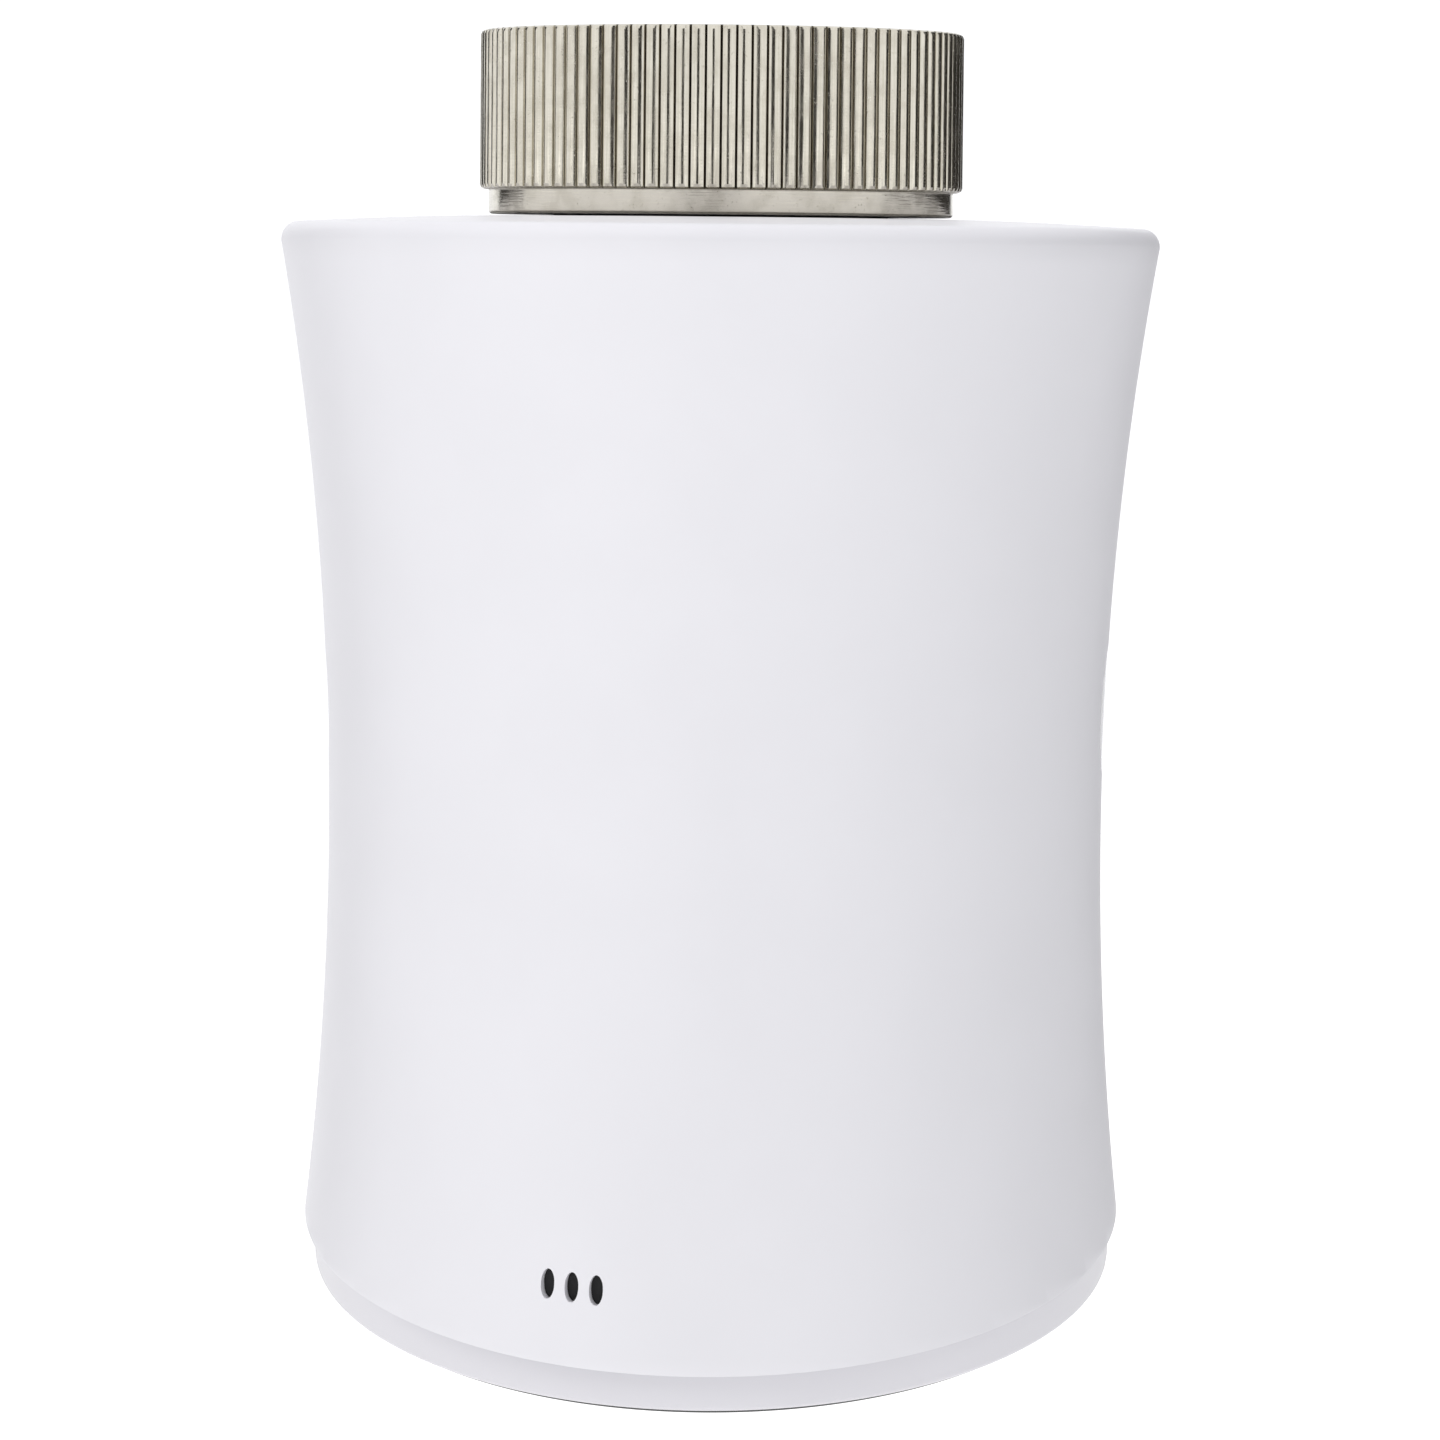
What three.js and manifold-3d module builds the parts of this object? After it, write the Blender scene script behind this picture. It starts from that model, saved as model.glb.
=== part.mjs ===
// Motor-driven radiator thermostat head: knurled union nut, waisted sleeve, slanted display end.
// Millimetres. Origin: centre of the valve seat plane, on the body's axis. +Z points to the valve,
// -Y to the low side of the slanted end.
import * as THREE from 'three';
import { mergeVertices } from 'three/addons/utils/BufferGeometryUtils.js';
import Module from 'manifold-3d';

const wasm = await Module();
wasm.setup();

// ---- fits ----
const restGap = 0.3;            // between pieces that touch or are fixed together
const slideGap = 0.3;           // round pieces that slide past each other
const runGap = 0.1;             // shafts in their bearings
const overCut = 1;              // how far a cutting tool runs past what it cuts

// ---- facets round a full turn ----
const shellFacets = 48;
const roundFacets = 32;
const rodFacets = 16;
const screwFacets = 10;

// ---- valve connection, M30 x 1.5 ----
const threadMinorRadius = 14.19;
const nutRadius = 17;
const nutTeeth = 100;
const nutGrooveDepth = 0.45;
const nutTopZ = 8;
const nutKnurlHeight = 11.1;
const nutCollarRadius = 16.35;
const nutCollarHeight = 1.76;
const nutLipHeight = 2.06;      // from the collar's foot to the lip's upper face

// ---- neck that the nut turns on ----
const neckRadius = 11.8;
const neckBore = 7.6;
const snapGrooveTopZ = -1.2;
const snapRingHeight = 1.1;
const snapRingWidth = 1.95;
const snapGrooveDepth = 0.6;
const snapRingOpening = 0.5;    // radians left open
const flangeRadius = 23;
const flangeHeight = 2.4;
const shoulderRadius = 13.2;
const shoulderHeight = 1.3;
const guideWall = 1.1;
const guideRibWidth = 1.6;
const guideRibDepth = 1.3;

// ---- sleeve ----
const rimZ = -6.8;              // height of the widest circle
const waistBelowRim = 41.3;
const waistRadius = 27.35;
const flankRadius = 240;        // of the concave side, seen from the side
const sleeveWall = 2;
const rimRound = 1.2;
const crownDrop = 0.5;          // the top falls this much from the nut to the rim
const topZ = -5;
const topWall = 2.2;
const nutRecessDepth = 0.3;
const sleeveEdgeZ = -74.4;      // lower edge, on the axis
const frontTilt = THREE.MathUtils.degToRad(15);

// ---- screws ----
const screwHeadRadius = 1.9;
const screwShankRadius = 0.9;
const screwHeadHeight = 1.2;
const neckScrewCircle = 14.4;
const neckScrewHeadRadius = 1.6;

// ---- gear train ----
const pressureAngle = THREE.MathUtils.degToRad(25);
const fineModule = 0.4;
const driveModule = 0.5;
const motorTeeth = 10;
const gear1Teeth = 34;
const gear1PinionTeeth = 10;
const gear2Teeth = 32;
const gear2PinionTeeth = 12;
const driveTeeth = 34;
const gearWidth = 2.5;
const driveGearWidth = 3.5;
const gearGap = 0.6;            // between gear layers
const axleRadius = 0.75;
const gear2Angle = THREE.MathUtils.degToRad(135);
const gear1Angle = THREE.MathUtils.degToRad(35);
const motorAngle = THREE.MathUtils.degToRad(20);

// ---- gearbox ----
const gearboxTopZ = -26;
const plateThickness = 1.2;
const gearboxHalfWidth = 18.7;
const gearboxFrontY = -5.5;
const gearboxReach = 23.3;
const gearboxWall = 1.2;
const postRadius = 2;
const motorRadius = 6;
const motorLength = 13.6;
const motorShaftDepth = 4;
const motorCapHeight = 2.5;
const motorCapStep = 0.8;

// ---- pusher ----
const padTopZ = -16.3;          // drawn in
const padHeight = 4;
const rodRadius = 3;
const rodLength = 21.7;
const hubRadius = 4.4;

// ---- release buttons ----
const buttonZ = -39.3;
const buttonRadius = 4.5;
const buttonFlangeRadius = 5.6;
const buttonFlangeThickness = 1;
const buttonTravel = 1.2;
const buttonStemRadius = 1.4;
const buttonSpringRadius = 2.5;

// ---- batteries, two AA cells ----
const cellRadius = 7.1;
const cellLength = 50.5;
const cellNubRadius = 2.75;
const cellNubHeight = 1.2;
const cellSpacing = 0.6;
const cellClearance = 0.15;
const cellTopZ = -14.5;

// ---- tray ----
const trayTopZ = -12;
const trayBottomZ = -70;
const trayWall = 0.9;
const trayEndWall = 1.4;
const trayFrontY = -7.3;
const trayBossX = 17.5;
const trayBossY = -10.5;
const trayRailHeight = 1.2;
const trayRailGap = 1.1;        // between the rails and the cells

// ---- battery contacts ----
const contactThickness = 0.5;
const contactWidth = 5;
const bridgeMargin = 4;
const batterySpringRadius = 4.6;
const batterySpringTopRadius = 2.6;

// ---- slanted end, heights measured outwards from the sleeve's edge ----
const ringStep = 0.54;          // the ring stands in from the sleeve's edge, beside the axis
const ringHeight = 3.85;
const ringWall = 0.65;
const ringLipDepth = 1.7;
const ringRound = 0.4;
const lensClearance = 0.25;
const lensProud = 0.5;
const lensThickness = 0.95;
const capPlateClearance = 1;
const capPlateThickness = 1;
const capSkirtWall = 1.6;
const capSkirtTopZ = -63;
const ledWidth = 24;
const ledHeight = 14;
const ledDepth = 2.4;
const lightGuideGap = 0.5;
const displayBoardRadius = 23.3;
const displayBoardHalf = 14.8;  // the board's sides are cut off this far from its middle

// ---- boards and what they carry ----
const boardThickness = 1;
const motorBoardWidth = 27;
const motorBoardY = 4.5;
const motorBoardDepth = 12;
const motorBoardDrop = 2.4;     // below the gearbox, clear of its screws' heads
const plugWidth = 9;
const plugThickness = 2;
const plugY = 7;
const socketWall = 1;
const socketDepth = 4;
const plugBodyHeight = 3.9;
const mainBoardY = 1;
const mainBoardHalf = 20;
const mainBoardTopZ = -45.8;
const mainBoardBottomZ = -70.5;
const radio = { x0: -17, x1: -5, z0: -66, z1: -56, height: 2.2 };
const processor = { x0: 1, x1: 9, z0: -65, z1: -57, height: 1.1 };
const leadRadius = 0.5;
const leadSpread = 1.3;
const leadX = 20.3;
const leadY = 9.6;
const sensorRadius = 21.6;
const sensorSize = [2, 1.4, 1.5];
const sensorWindowSize = [8, 3.2];

// ---- vents beside the temperature sensor ----
const ventWidth = 0.87;
const ventHeight = 1.85;
const ventPitch = 1.69;
const ventCount = 3;
const ventAboveEdge = 5;
const ventAzimuth = THREE.MathUtils.degToRad(-16.7);

// ---- materials ----
function finish(name, color, roughness, metalness) {
  return new THREE.MeshStandardMaterial({ name, color, roughness, metalness });
}
const whitePlastic = finish('white_plastic', 0xe9e9ec, 0.5, 0);
const padPlastic = finish('pad_plastic', 0xe4e4e8, 0.3, 0);
const greyPlastic = finish('grey_plastic', 0x9a9ca0, 0.6, 0);
const darkPlastic = finish('dark_plastic', 0x2a2b2e, 0.6, 0);
const gearPlastic = finish('gear_plastic', 0xf0ead8, 0.45, 0);
const nickel = finish('nickel', 0xb9ada0, 0.25, 1);
const steel = finish('steel', 0xa9acb0, 0.3, 1);
const brass = finish('brass', 0xc8a85a, 0.3, 1);
const blackGlass = finish('black_glass', 0x08080a, 0.08, 0);
const diffuser = finish('diffuser', 0xdfe3e6, 0.4, 0);
const board = finish('circuit_board', 0x1f5a3a, 0.5, 0);
const chip = finish('chip_black', 0x17181a, 0.5, 0);
const cellJacket = finish('cell_jacket', 0x3a5f8a, 0.35, 0.2);
const wireRed = finish('wire_red', 0xa03028, 0.5, 0);
const wireBlack = finish('wire_black', 0x202020, 0.5, 0);

// ---- shape helpers ----
function toSolid(geometry) {
  const source = geometry.index ? geometry : geometry.clone();
  source.deleteAttribute('normal');
  source.deleteAttribute('uv');
  const merged = mergeVertices(source, 1e-4);
  return new wasm.Manifold(new wasm.Mesh({
    numProp: 3,
    vertProperties: new Float32Array(merged.attributes.position.array),
    triVerts: new Uint32Array(merged.index.array),
  }));
}

function toGeometry(solid) {
  const mesh = solid.getMesh();
  const geometry = new THREE.BufferGeometry();
  geometry.setAttribute('position', new THREE.BufferAttribute(mesh.vertProperties, 3));
  geometry.setIndex(new THREE.BufferAttribute(mesh.triVerts, 1));
  return geometry;
}

// closed profile of [radius, z] points, turned about Z
function turned(points, segments = roundFacets) {
  let area = 0;
  points.forEach(([r, z], i) => {
    const [nextR, nextZ] = points[(i + 1) % points.length];
    area += r * nextZ - nextR * z;
  });
  const ordered = area > 0 ? points : [...points].reverse();
  const outline = [...ordered, ordered[0]].map(([r, z]) => new THREE.Vector2(r, z));
  return new THREE.LatheGeometry(outline, segments).rotateX(Math.PI / 2);
}

function cylinder(radius, lowerZ, upperZ, x = 0, y = 0, segments = rodFacets) {
  const height = upperZ - lowerZ;
  return new THREE.CylinderGeometry(radius, radius, height, segments)
    .rotateX(Math.PI / 2)
    .translate(x, y, lowerZ + height / 2);
}

function tube(outer, inner, lowerZ, upperZ, segments = roundFacets) {
  return turned([[inner, lowerZ], [outer, lowerZ], [outer, upperZ], [inner, upperZ]], segments);
}

function block(x0, x1, y0, y1, z0, z1) {
  return new THREE.BoxGeometry(x1 - x0, y1 - y0, z1 - z0)
    .translate((x0 + x1) / 2, (y0 + y1) / 2, (z0 + z1) / 2);
}

function plate(shape, lowerZ, upperZ, curveSegments = 8) {
  const options = { depth: upperZ - lowerZ, bevelEnabled: false, curveSegments };
  return new THREE.ExtrudeGeometry(shape, options).translate(0, 0, lowerZ);
}

function joined(...geometries) {
  return geometries.map(toSolid).reduce((whole, next) => whole.add(next));
}

function cut(solid, ...tools) {
  return tools.map(toSolid).reduce((whole, tool) => whole.subtract(tool), solid);
}

// coil of round wire on the Z axis, from lowerZ to upperZ
function coil(lowerRadius, upperRadius, lowerZ, upperZ, turns, wireRadius) {
  const points = [];
  const steps = turns * 9;
  for (let i = 0; i <= steps; i += 1) {
    const share = i / steps;
    const radius = THREE.MathUtils.lerp(lowerRadius, upperRadius, share);
    const angle = share * turns * 2 * Math.PI;
    const z = THREE.MathUtils.lerp(lowerZ + wireRadius, upperZ - wireRadius, share);
    points.push(new THREE.Vector3(radius * Math.cos(angle), radius * Math.sin(angle), z));
  }
  return wire(points, wireRadius, steps, 5);
}

function wire(points, radius, steps, sides) {
  const section = new THREE.Shape();
  for (let i = 0; i < sides; i += 1) {
    const angle = (i / sides) * 2 * Math.PI;
    const corner = [radius * Math.cos(angle), radius * Math.sin(angle)];
    if (i === 0) section.moveTo(...corner);
    else section.lineTo(...corner);
  }
  const extrudePath = new THREE.CatmullRomCurve3(points);
  return new THREE.ExtrudeGeometry(section, { steps, extrudePath, bevelEnabled: false });
}

const root = new THREE.Group();
const slantedEnd = new THREE.Group();       // local -Z is the outward normal of the display
slantedEnd.position.z = sleeveEdgeZ;
slantedEnd.rotation.x = frontTilt;
root.add(slantedEnd);
slantedEnd.updateMatrix();

function place(name, shape, material, group = root) {
  const geometry = shape.isBufferGeometry ? shape : toGeometry(shape);
  const mesh = new THREE.Mesh(geometry, material);
  mesh.name = name;
  group.add(mesh);
  return mesh;
}

// ---- involute gears ----
const backlash = 0.14;
const addendumShare = 0.8;
const dedendumShare = 1.05;

function involute(angle) {
  return Math.tan(angle) - angle;
}

// outline with the centre of one tooth at toothAngle
function gearShape(teeth, gearModule, toothAngle, boreRadius) {
  const pitchRadius = teeth * gearModule / 2;
  const baseRadius = pitchRadius * Math.cos(pressureAngle);
  const tipRadius = pitchRadius + addendumShare * gearModule;
  const rootRadius = pitchRadius - dedendumShare * gearModule;
  const halfAtPitch = Math.PI / (2 * teeth) - backlash / (2 * pitchRadius);
  const halfAt = (radius) => {
    const angle = Math.acos(Math.min(1, baseRadius / radius));
    return halfAtPitch + involute(pressureAngle) - involute(angle);
  };
  const lowest = Math.max(baseRadius, rootRadius);
  const flank = [rootRadius, tipRadius];
  const shape = new THREE.Shape();
  for (let tooth = 0; tooth < teeth; tooth += 1) {
    const middle = toothAngle + tooth * 2 * Math.PI / teeth;
    const rising = flank.map((radius) => [radius, middle - halfAt(Math.max(radius, lowest))]);
    const falling = flank.map((radius) => [radius, middle + halfAt(Math.max(radius, lowest))]);
    [...rising, ...falling.reverse()].forEach(([radius, angle], i) => {
      const point = [radius * Math.cos(angle), radius * Math.sin(angle)];
      if (tooth === 0 && i === 0) shape.moveTo(...point);
      else shape.lineTo(...point);
    });
  }
  if (boreRadius) {
    shape.holes.push(new THREE.Path().absarc(0, 0, boreRadius, 0, 2 * Math.PI, true));
  }
  return shape;
}

function centreDistance(teethA, teethB, gearModule) {
  return (teethA + teethB) * gearModule / 2;
}

function offset([x, y], distance, angle) {
  return [x + distance * Math.cos(angle), y + distance * Math.sin(angle)];
}

// tooth angle of a gear whose tooth space faces back along the line of centres
function meshedWith(angle, teeth) {
  return angle + Math.PI + Math.PI / teeth;
}

// ---- derived places ----
const waistZ = rimZ - waistBelowRim;
const nutKnurlBottomZ = nutTopZ - nutKnurlHeight;
const nutFootZ = nutKnurlBottomZ - nutCollarHeight;
const nutLipTopZ = nutFootZ + nutLipHeight;
const recessZ = topZ - nutRecessDepth;
const plateUnderZ = topZ - topWall;
const flangeTopZ = plateUnderZ - restGap;
const flangeBottomZ = flangeTopZ - flangeHeight;
const shoulderTopZ = flangeBottomZ - restGap;
const shoulderBottomZ = shoulderTopZ - shoulderHeight;
const guideBottomZ = gearboxTopZ + restGap;
const guideRadius = neckBore + guideWall;
const padRadius = neckBore - slideGap;

const gear1TopZ = gearboxTopZ - plateThickness - gearGap;
const gear2TopZ = gear1TopZ - gearWidth - gearGap;
const driveTopZ = gear2TopZ - gearWidth - gearGap;
const driveBottomZ = driveTopZ - driveGearWidth;
const gearboxFloorZ = driveBottomZ - gearGap;
const gearboxBottomZ = gearboxFloorZ - plateThickness;

const gear2At = offset([0, 0], centreDistance(driveTeeth, gear2PinionTeeth, driveModule), gear2Angle);
const gear1At = offset(gear2At, centreDistance(gear2Teeth, gear1PinionTeeth, fineModule), gear1Angle);
const motorAt = offset(gear1At, centreDistance(gear1Teeth, motorTeeth, fineModule), motorAngle);
const postPlaces = [[-16.5, -1], [16.5, -1], [-10, 18.5]];

// radius of the sleeve's outside at a height
function flankAt(z) {
  return waistRadius + flankRadius - Math.sqrt(flankRadius ** 2 - (z - waistZ) ** 2);
}

// points down the flank from fromZ to toZ, moved inwards by inset
function flankPoints(fromZ, toZ, count, inset = 0) {
  return Array.from({ length: count + 1 }, (_, i) => {
    const z = THREE.MathUtils.lerp(fromZ, toZ, i / count);
    return [flankAt(z) - inset, z];
  });
}

const ringRadius = flankAt(sleeveEdgeZ) - ringStep;
const ringInner = ringRadius - ringWall;
const ringLipRadius = ringInner - ringLipDepth;
const lensRadius = ringInner - lensClearance;
const capPlateRadius = ringInner - capPlateClearance;
const capSkirtRadius = flankAt(capSkirtTopZ) - sleeveWall - slideGap;
const trayOuter = waistRadius - sleeveWall - slideGap;
const trayInner = trayOuter - trayWall;
const cellX = cellRadius + cellSpacing / 2;
const cellY = -Math.sqrt((trayInner - cellRadius - cellClearance) ** 2 - cellX ** 2);

function slantedToWorld(geometry) {
  return geometry.applyMatrix4(slantedEnd.matrix);
}

// everything outside the plane that lies height outwards from the sleeve's edge
function outsideSlant(height) {
  const reach = 80;
  return slantedToWorld(block(-reach, reach, -reach, reach, -2 * reach, -height));
}

// ---- union nut ----
function nutOutline() {
  const pitch = 2 * Math.PI / nutTeeth;
  const shape = new THREE.Shape();
  for (let tooth = 0; tooth < nutTeeth; tooth += 1) {
    const start = tooth * pitch;
    const corners = [[nutRadius, start - pitch / 3], [nutRadius, start + pitch / 3],
      [nutRadius - nutGrooveDepth, start + pitch / 2]];
    corners.forEach(([radius, angle], i) => {
      const point = [radius * Math.cos(angle), radius * Math.sin(angle)];
      if (tooth === 0 && i === 0) shape.moveTo(...point);
      else shape.lineTo(...point);
    });
  }
  shape.holes.push(new THREE.Path().absarc(0, 0, threadMinorRadius, 0, 2 * Math.PI, true));
  return shape;
}
const nutLipRadius = neckRadius + slideGap;
place('union_nut', joined(
  plate(nutOutline(), nutKnurlBottomZ, nutTopZ, roundFacets / 2),
  tube(nutCollarRadius, nutLipRadius, nutFootZ, nutLipTopZ),
), nickel);

// ---- neck: seat tube and guide tube in one, pulled up against the flange by its shoulder ----
const snapGrooveBottomZ = snapGrooveTopZ - snapRingHeight - restGap;
const neckProfile = [
  [neckBore, 0], [neckRadius, 0],
  [neckRadius, snapGrooveTopZ], [neckRadius - snapGrooveDepth, snapGrooveTopZ],
  [neckRadius - snapGrooveDepth, snapGrooveBottomZ], [neckRadius, snapGrooveBottomZ],
  [neckRadius, shoulderTopZ], [shoulderRadius, shoulderTopZ], [shoulderRadius, shoulderBottomZ],
  [guideRadius, shoulderBottomZ], [guideRadius, guideBottomZ], [neckBore, guideBottomZ],
];
const guideRibs = [-1, 1].map((side) => {
  const inner = neckBore - guideRibDepth;
  const outer = neckBore + guideWall / 2;
  const [x0, x1] = side > 0 ? [inner, outer] : [-outer, -inner];
  return block(x0, x1, -guideRibWidth / 2, guideRibWidth / 2, guideBottomZ, shoulderTopZ);
});
place('valve_neck', joined(turned(neckProfile), ...guideRibs), darkPlastic);

// ---- flange under the sleeve's top, with the posts that carry the gearbox ----
const postHoleRadius = screwShankRadius + restGap;
const postHoleDepth = 5;
const posts = postPlaces.map(([x, y]) => cylinder(postRadius, guideBottomZ, flangeTopZ - 0.5, x, y));
const neckScrewPlaces = [90, 210, 330].map((degrees) => {
  const angle = THREE.MathUtils.degToRad(degrees);
  return [neckScrewCircle * Math.cos(angle), neckScrewCircle * Math.sin(angle)];
});
const neckScrewHoles = neckScrewPlaces.map(([x, y]) => (
  cylinder(screwShankRadius + restGap, flangeBottomZ - overCut, flangeTopZ + overCut, x, y)));
const postHoles = postPlaces.map(([x, y]) => (
  cylinder(postHoleRadius, guideBottomZ - overCut, guideBottomZ + postHoleDepth, x, y)));
place('neck_flange', cut(
  joined(tube(flangeRadius, neckRadius + restGap, flangeBottomZ, flangeTopZ), ...posts),
  ...neckScrewHoles, ...postHoles,
), greyPlastic);

const snapInner = neckRadius - snapGrooveDepth + restGap / 2;
const snapOuter = snapInner + snapRingWidth;
const snapShape = new THREE.Shape()
  .absarc(0, 0, snapOuter, snapRingOpening / 2, 2 * Math.PI - snapRingOpening / 2, false)
  .absarc(0, 0, snapInner, 2 * Math.PI - snapRingOpening / 2, snapRingOpening / 2, true);
const snapTopZ = snapGrooveTopZ - restGap / 2;
place('nut_snap_ring', plate(snapShape, snapTopZ - snapRingHeight, snapTopZ, 16), steel);

const neckScrewTopZ = recessZ - 0.15;
const neckScrewProfile = [
  [0, neckScrewTopZ], [neckScrewHeadRadius, neckScrewTopZ],
  [screwShankRadius, neckScrewTopZ - screwHeadHeight],
  [screwShankRadius, flangeBottomZ + restGap], [0, flangeBottomZ + restGap],
];
neckScrewPlaces.forEach(([x, y], i) => {
  place(`neck_screw_${i + 1}`, turned(neckScrewProfile, screwFacets).translate(x, y, 0), steel);
});

// ---- sleeve ----
const sleeveHole = neckRadius + restGap;
const recessRadius = nutCollarRadius + 0.4;
const rimRadius = flankAt(rimZ);
const rimTopZ = topZ - crownDrop;
const rimMiddle = [rimRadius - rimRound + rimRound * Math.SQRT1_2,
  rimZ + (rimTopZ - rimZ) * Math.SQRT1_2];
const sleeveLowZ = sleeveEdgeZ - 12;
const sleeveProfile = [
  [sleeveHole, recessZ], [recessRadius, recessZ], [recessRadius, topZ],
  [rimRadius - rimRound, rimTopZ], rimMiddle,
  ...flankPoints(rimZ, sleeveLowZ, 7),
  ...flankPoints(sleeveLowZ, plateUnderZ, 6, sleeveWall),
  [sleeveHole, plateUnderZ],
];
const countersinks = neckScrewPlaces.map(([x, y]) => turned([
  [0, recessZ + overCut], [neckScrewHeadRadius + restGap, recessZ + overCut],
  [neckScrewHeadRadius + restGap, neckScrewTopZ],
  [screwShankRadius + restGap, neckScrewTopZ - screwHeadHeight],
  [screwShankRadius + restGap, plateUnderZ - overCut], [0, plateUnderZ - overCut],
], screwFacets).translate(x, y, 0));
const buttonHoles = [-1, 1].map((side) => (
  new THREE.CylinderGeometry(buttonRadius + 0.2, buttonRadius + 0.2, 20, rodFacets)
    .rotateZ(Math.PI / 2)
    .translate(side * waistRadius, 0, buttonZ)));
// oval slot through the wall, its centre the stated distance above the slanted edge
function ventTool(index) {
  const spread = (index - (ventCount - 1) / 2) * ventPitch / (waistRadius + 1);
  const azimuth = ventAzimuth + spread;
  const radius = flankAt(sleeveEdgeZ);
  const z = sleeveEdgeZ - radius * Math.cos(azimuth) * Math.tan(frontTilt) + ventAboveEdge;
  const straight = ventHeight - ventWidth;
  const outline = new THREE.Shape()
    .absarc(0, straight / 2, ventWidth / 2, 0, Math.PI, false)
    .absarc(0, -straight / 2, ventWidth / 2, Math.PI, 2 * Math.PI, false);
  return new THREE.ExtrudeGeometry(outline, { depth: 8, bevelEnabled: false, curveSegments: 4 })
    .rotateX(Math.PI / 2)
    .translate(0, -radius + 4, z)
    .rotateZ(azimuth);
}
const vents = Array.from({ length: ventCount }, (_, i) => ventTool(i));
place('outer_sleeve', cut(
  toSolid(turned(sleeveProfile, shellFacets)),
  outsideSlant(0), ...countersinks, ...buttonHoles, ...vents,
), whitePlastic);

// ---- release buttons, flush with the flank, with springs against the gearbox ----
const padBlend = toSolid(turned([
  [0, rimZ], ...flankPoints(rimZ, sleeveLowZ, 7, 0.05), [0, sleeveLowZ],
], shellFacets));
const buttonFlangeOuterX = Math.sqrt((flankAt(buttonZ) - sleeveWall - slideGap) ** 2
  - buttonFlangeRadius ** 2);
const buttonFlangeInnerX = buttonFlangeOuterX - buttonFlangeThickness;
const stemInnerX = gearboxHalfWidth + restGap + buttonTravel;
function alongX(radius, x0, x1, segments) {
  return new THREE.CylinderGeometry(radius, radius, x1 - x0, segments)
    .rotateZ(Math.PI / 2)
    .translate((x0 + x1) / 2, 0, buttonZ);
}
[['right', 0], ['left', Math.PI]].forEach(([side, turn]) => {
  const button = joined(
    alongX(buttonRadius, buttonFlangeInnerX, waistRadius + 3, rodFacets),
    alongX(buttonFlangeRadius, buttonFlangeInnerX, buttonFlangeOuterX, rodFacets),
    alongX(buttonStemRadius, stemInnerX, buttonFlangeInnerX + 0.5, 12),
  ).intersect(padBlend);
  place(`release_button_${side}`, toGeometry(button).rotateZ(turn), padPlastic);
  const springLength = buttonFlangeInnerX - gearboxHalfWidth - 2 * restGap;
  const spring = coil(buttonSpringRadius, buttonSpringRadius, 0, springLength, 4, 0.25)
    .rotateY(Math.PI / 2)
    .translate(gearboxHalfWidth + restGap, 0, buttonZ)
    .rotateZ(turn);
  place(`button_spring_${side}`, spring, steel);
});

// ---- gearbox: housing below, lid above, three long screws up into the neck's posts ----
// outline clear of the batteries, with a disc round the drive gear; inset draws the walls in
function gearboxOutline(inset, aroundDrive) {
  const half = gearboxHalfWidth - inset;
  const reach = gearboxReach - inset;
  const front = gearboxFrontY + inset;
  const cornerAngle = Math.acos(half / reach);
  const driveAngle = Math.asin(-front / aroundDrive);
  const shape = new THREE.Shape();
  shape.moveTo(aroundDrive * Math.cos(driveAngle), front);
  shape.lineTo(half, front);
  shape.lineTo(half, reach * Math.sin(cornerAngle));
  shape.absarc(0, 0, reach, cornerAngle, Math.PI - cornerAngle, false);
  shape.lineTo(-half, front);
  shape.lineTo(-aroundDrive * Math.cos(driveAngle), front);
  shape.absarc(0, 0, aroundDrive, Math.PI + driveAngle, 2 * Math.PI - driveAngle, false);
  return shape;
}
const driveTipRadius = driveTeeth * driveModule / 2 + addendumShare * driveModule;
const drivePlateRadius = driveTipRadius + 0.4;
const columnHoles = postPlaces.map(([x, y]) => (
  cylinder(postHoleRadius, gearboxBottomZ - overCut, gearboxTopZ + overCut, x, y)));
const axleHoles = [gear1At, gear2At].map(([x, y]) => (
  cylinder(axleRadius + runGap, gearboxBottomZ - overCut, gearboxTopZ + overCut, x, y, 12)));
const hubHole = cylinder(hubRadius + runGap, gearboxBottomZ - overCut, gearboxTopZ + overCut,
  0, 0, roundFacets);
const housingTopZ = gearboxTopZ - plateThickness - restGap;
const columns = postPlaces.map(([x, y]) => cylinder(postRadius, gearboxBottomZ + 0.5, housingTopZ, x, y));
const cavity = plate(gearboxOutline(gearboxWall, drivePlateRadius - 0.1), gearboxFloorZ,
  housingTopZ + overCut);
const openFront = block(-drivePlateRadius, drivePlateRadius, -2 * drivePlateRadius,
  gearboxFrontY + 0.2, gearboxFloorZ, housingTopZ + overCut);
const housingShell = cut(
  toSolid(plate(gearboxOutline(0, drivePlateRadius), gearboxBottomZ, housingTopZ)),
  cavity, openFront,
);
place('gearbox_housing', cut(
  columns.map(toSolid).reduce((whole, column) => whole.add(column), housingShell),
  ...columnHoles, ...axleHoles, hubHole,
), greyPlastic);

const motorHole = cylinder(fineModule * motorTeeth / 2 + 1, gearboxTopZ - plateThickness - overCut,
  gearboxTopZ + overCut, ...motorAt);
place('gearbox_lid', cut(
  toSolid(plate(gearboxOutline(0, drivePlateRadius), gearboxTopZ - plateThickness, gearboxTopZ)),
  ...columnHoles, ...axleHoles, hubHole, motorHole,
), greyPlastic);

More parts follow.
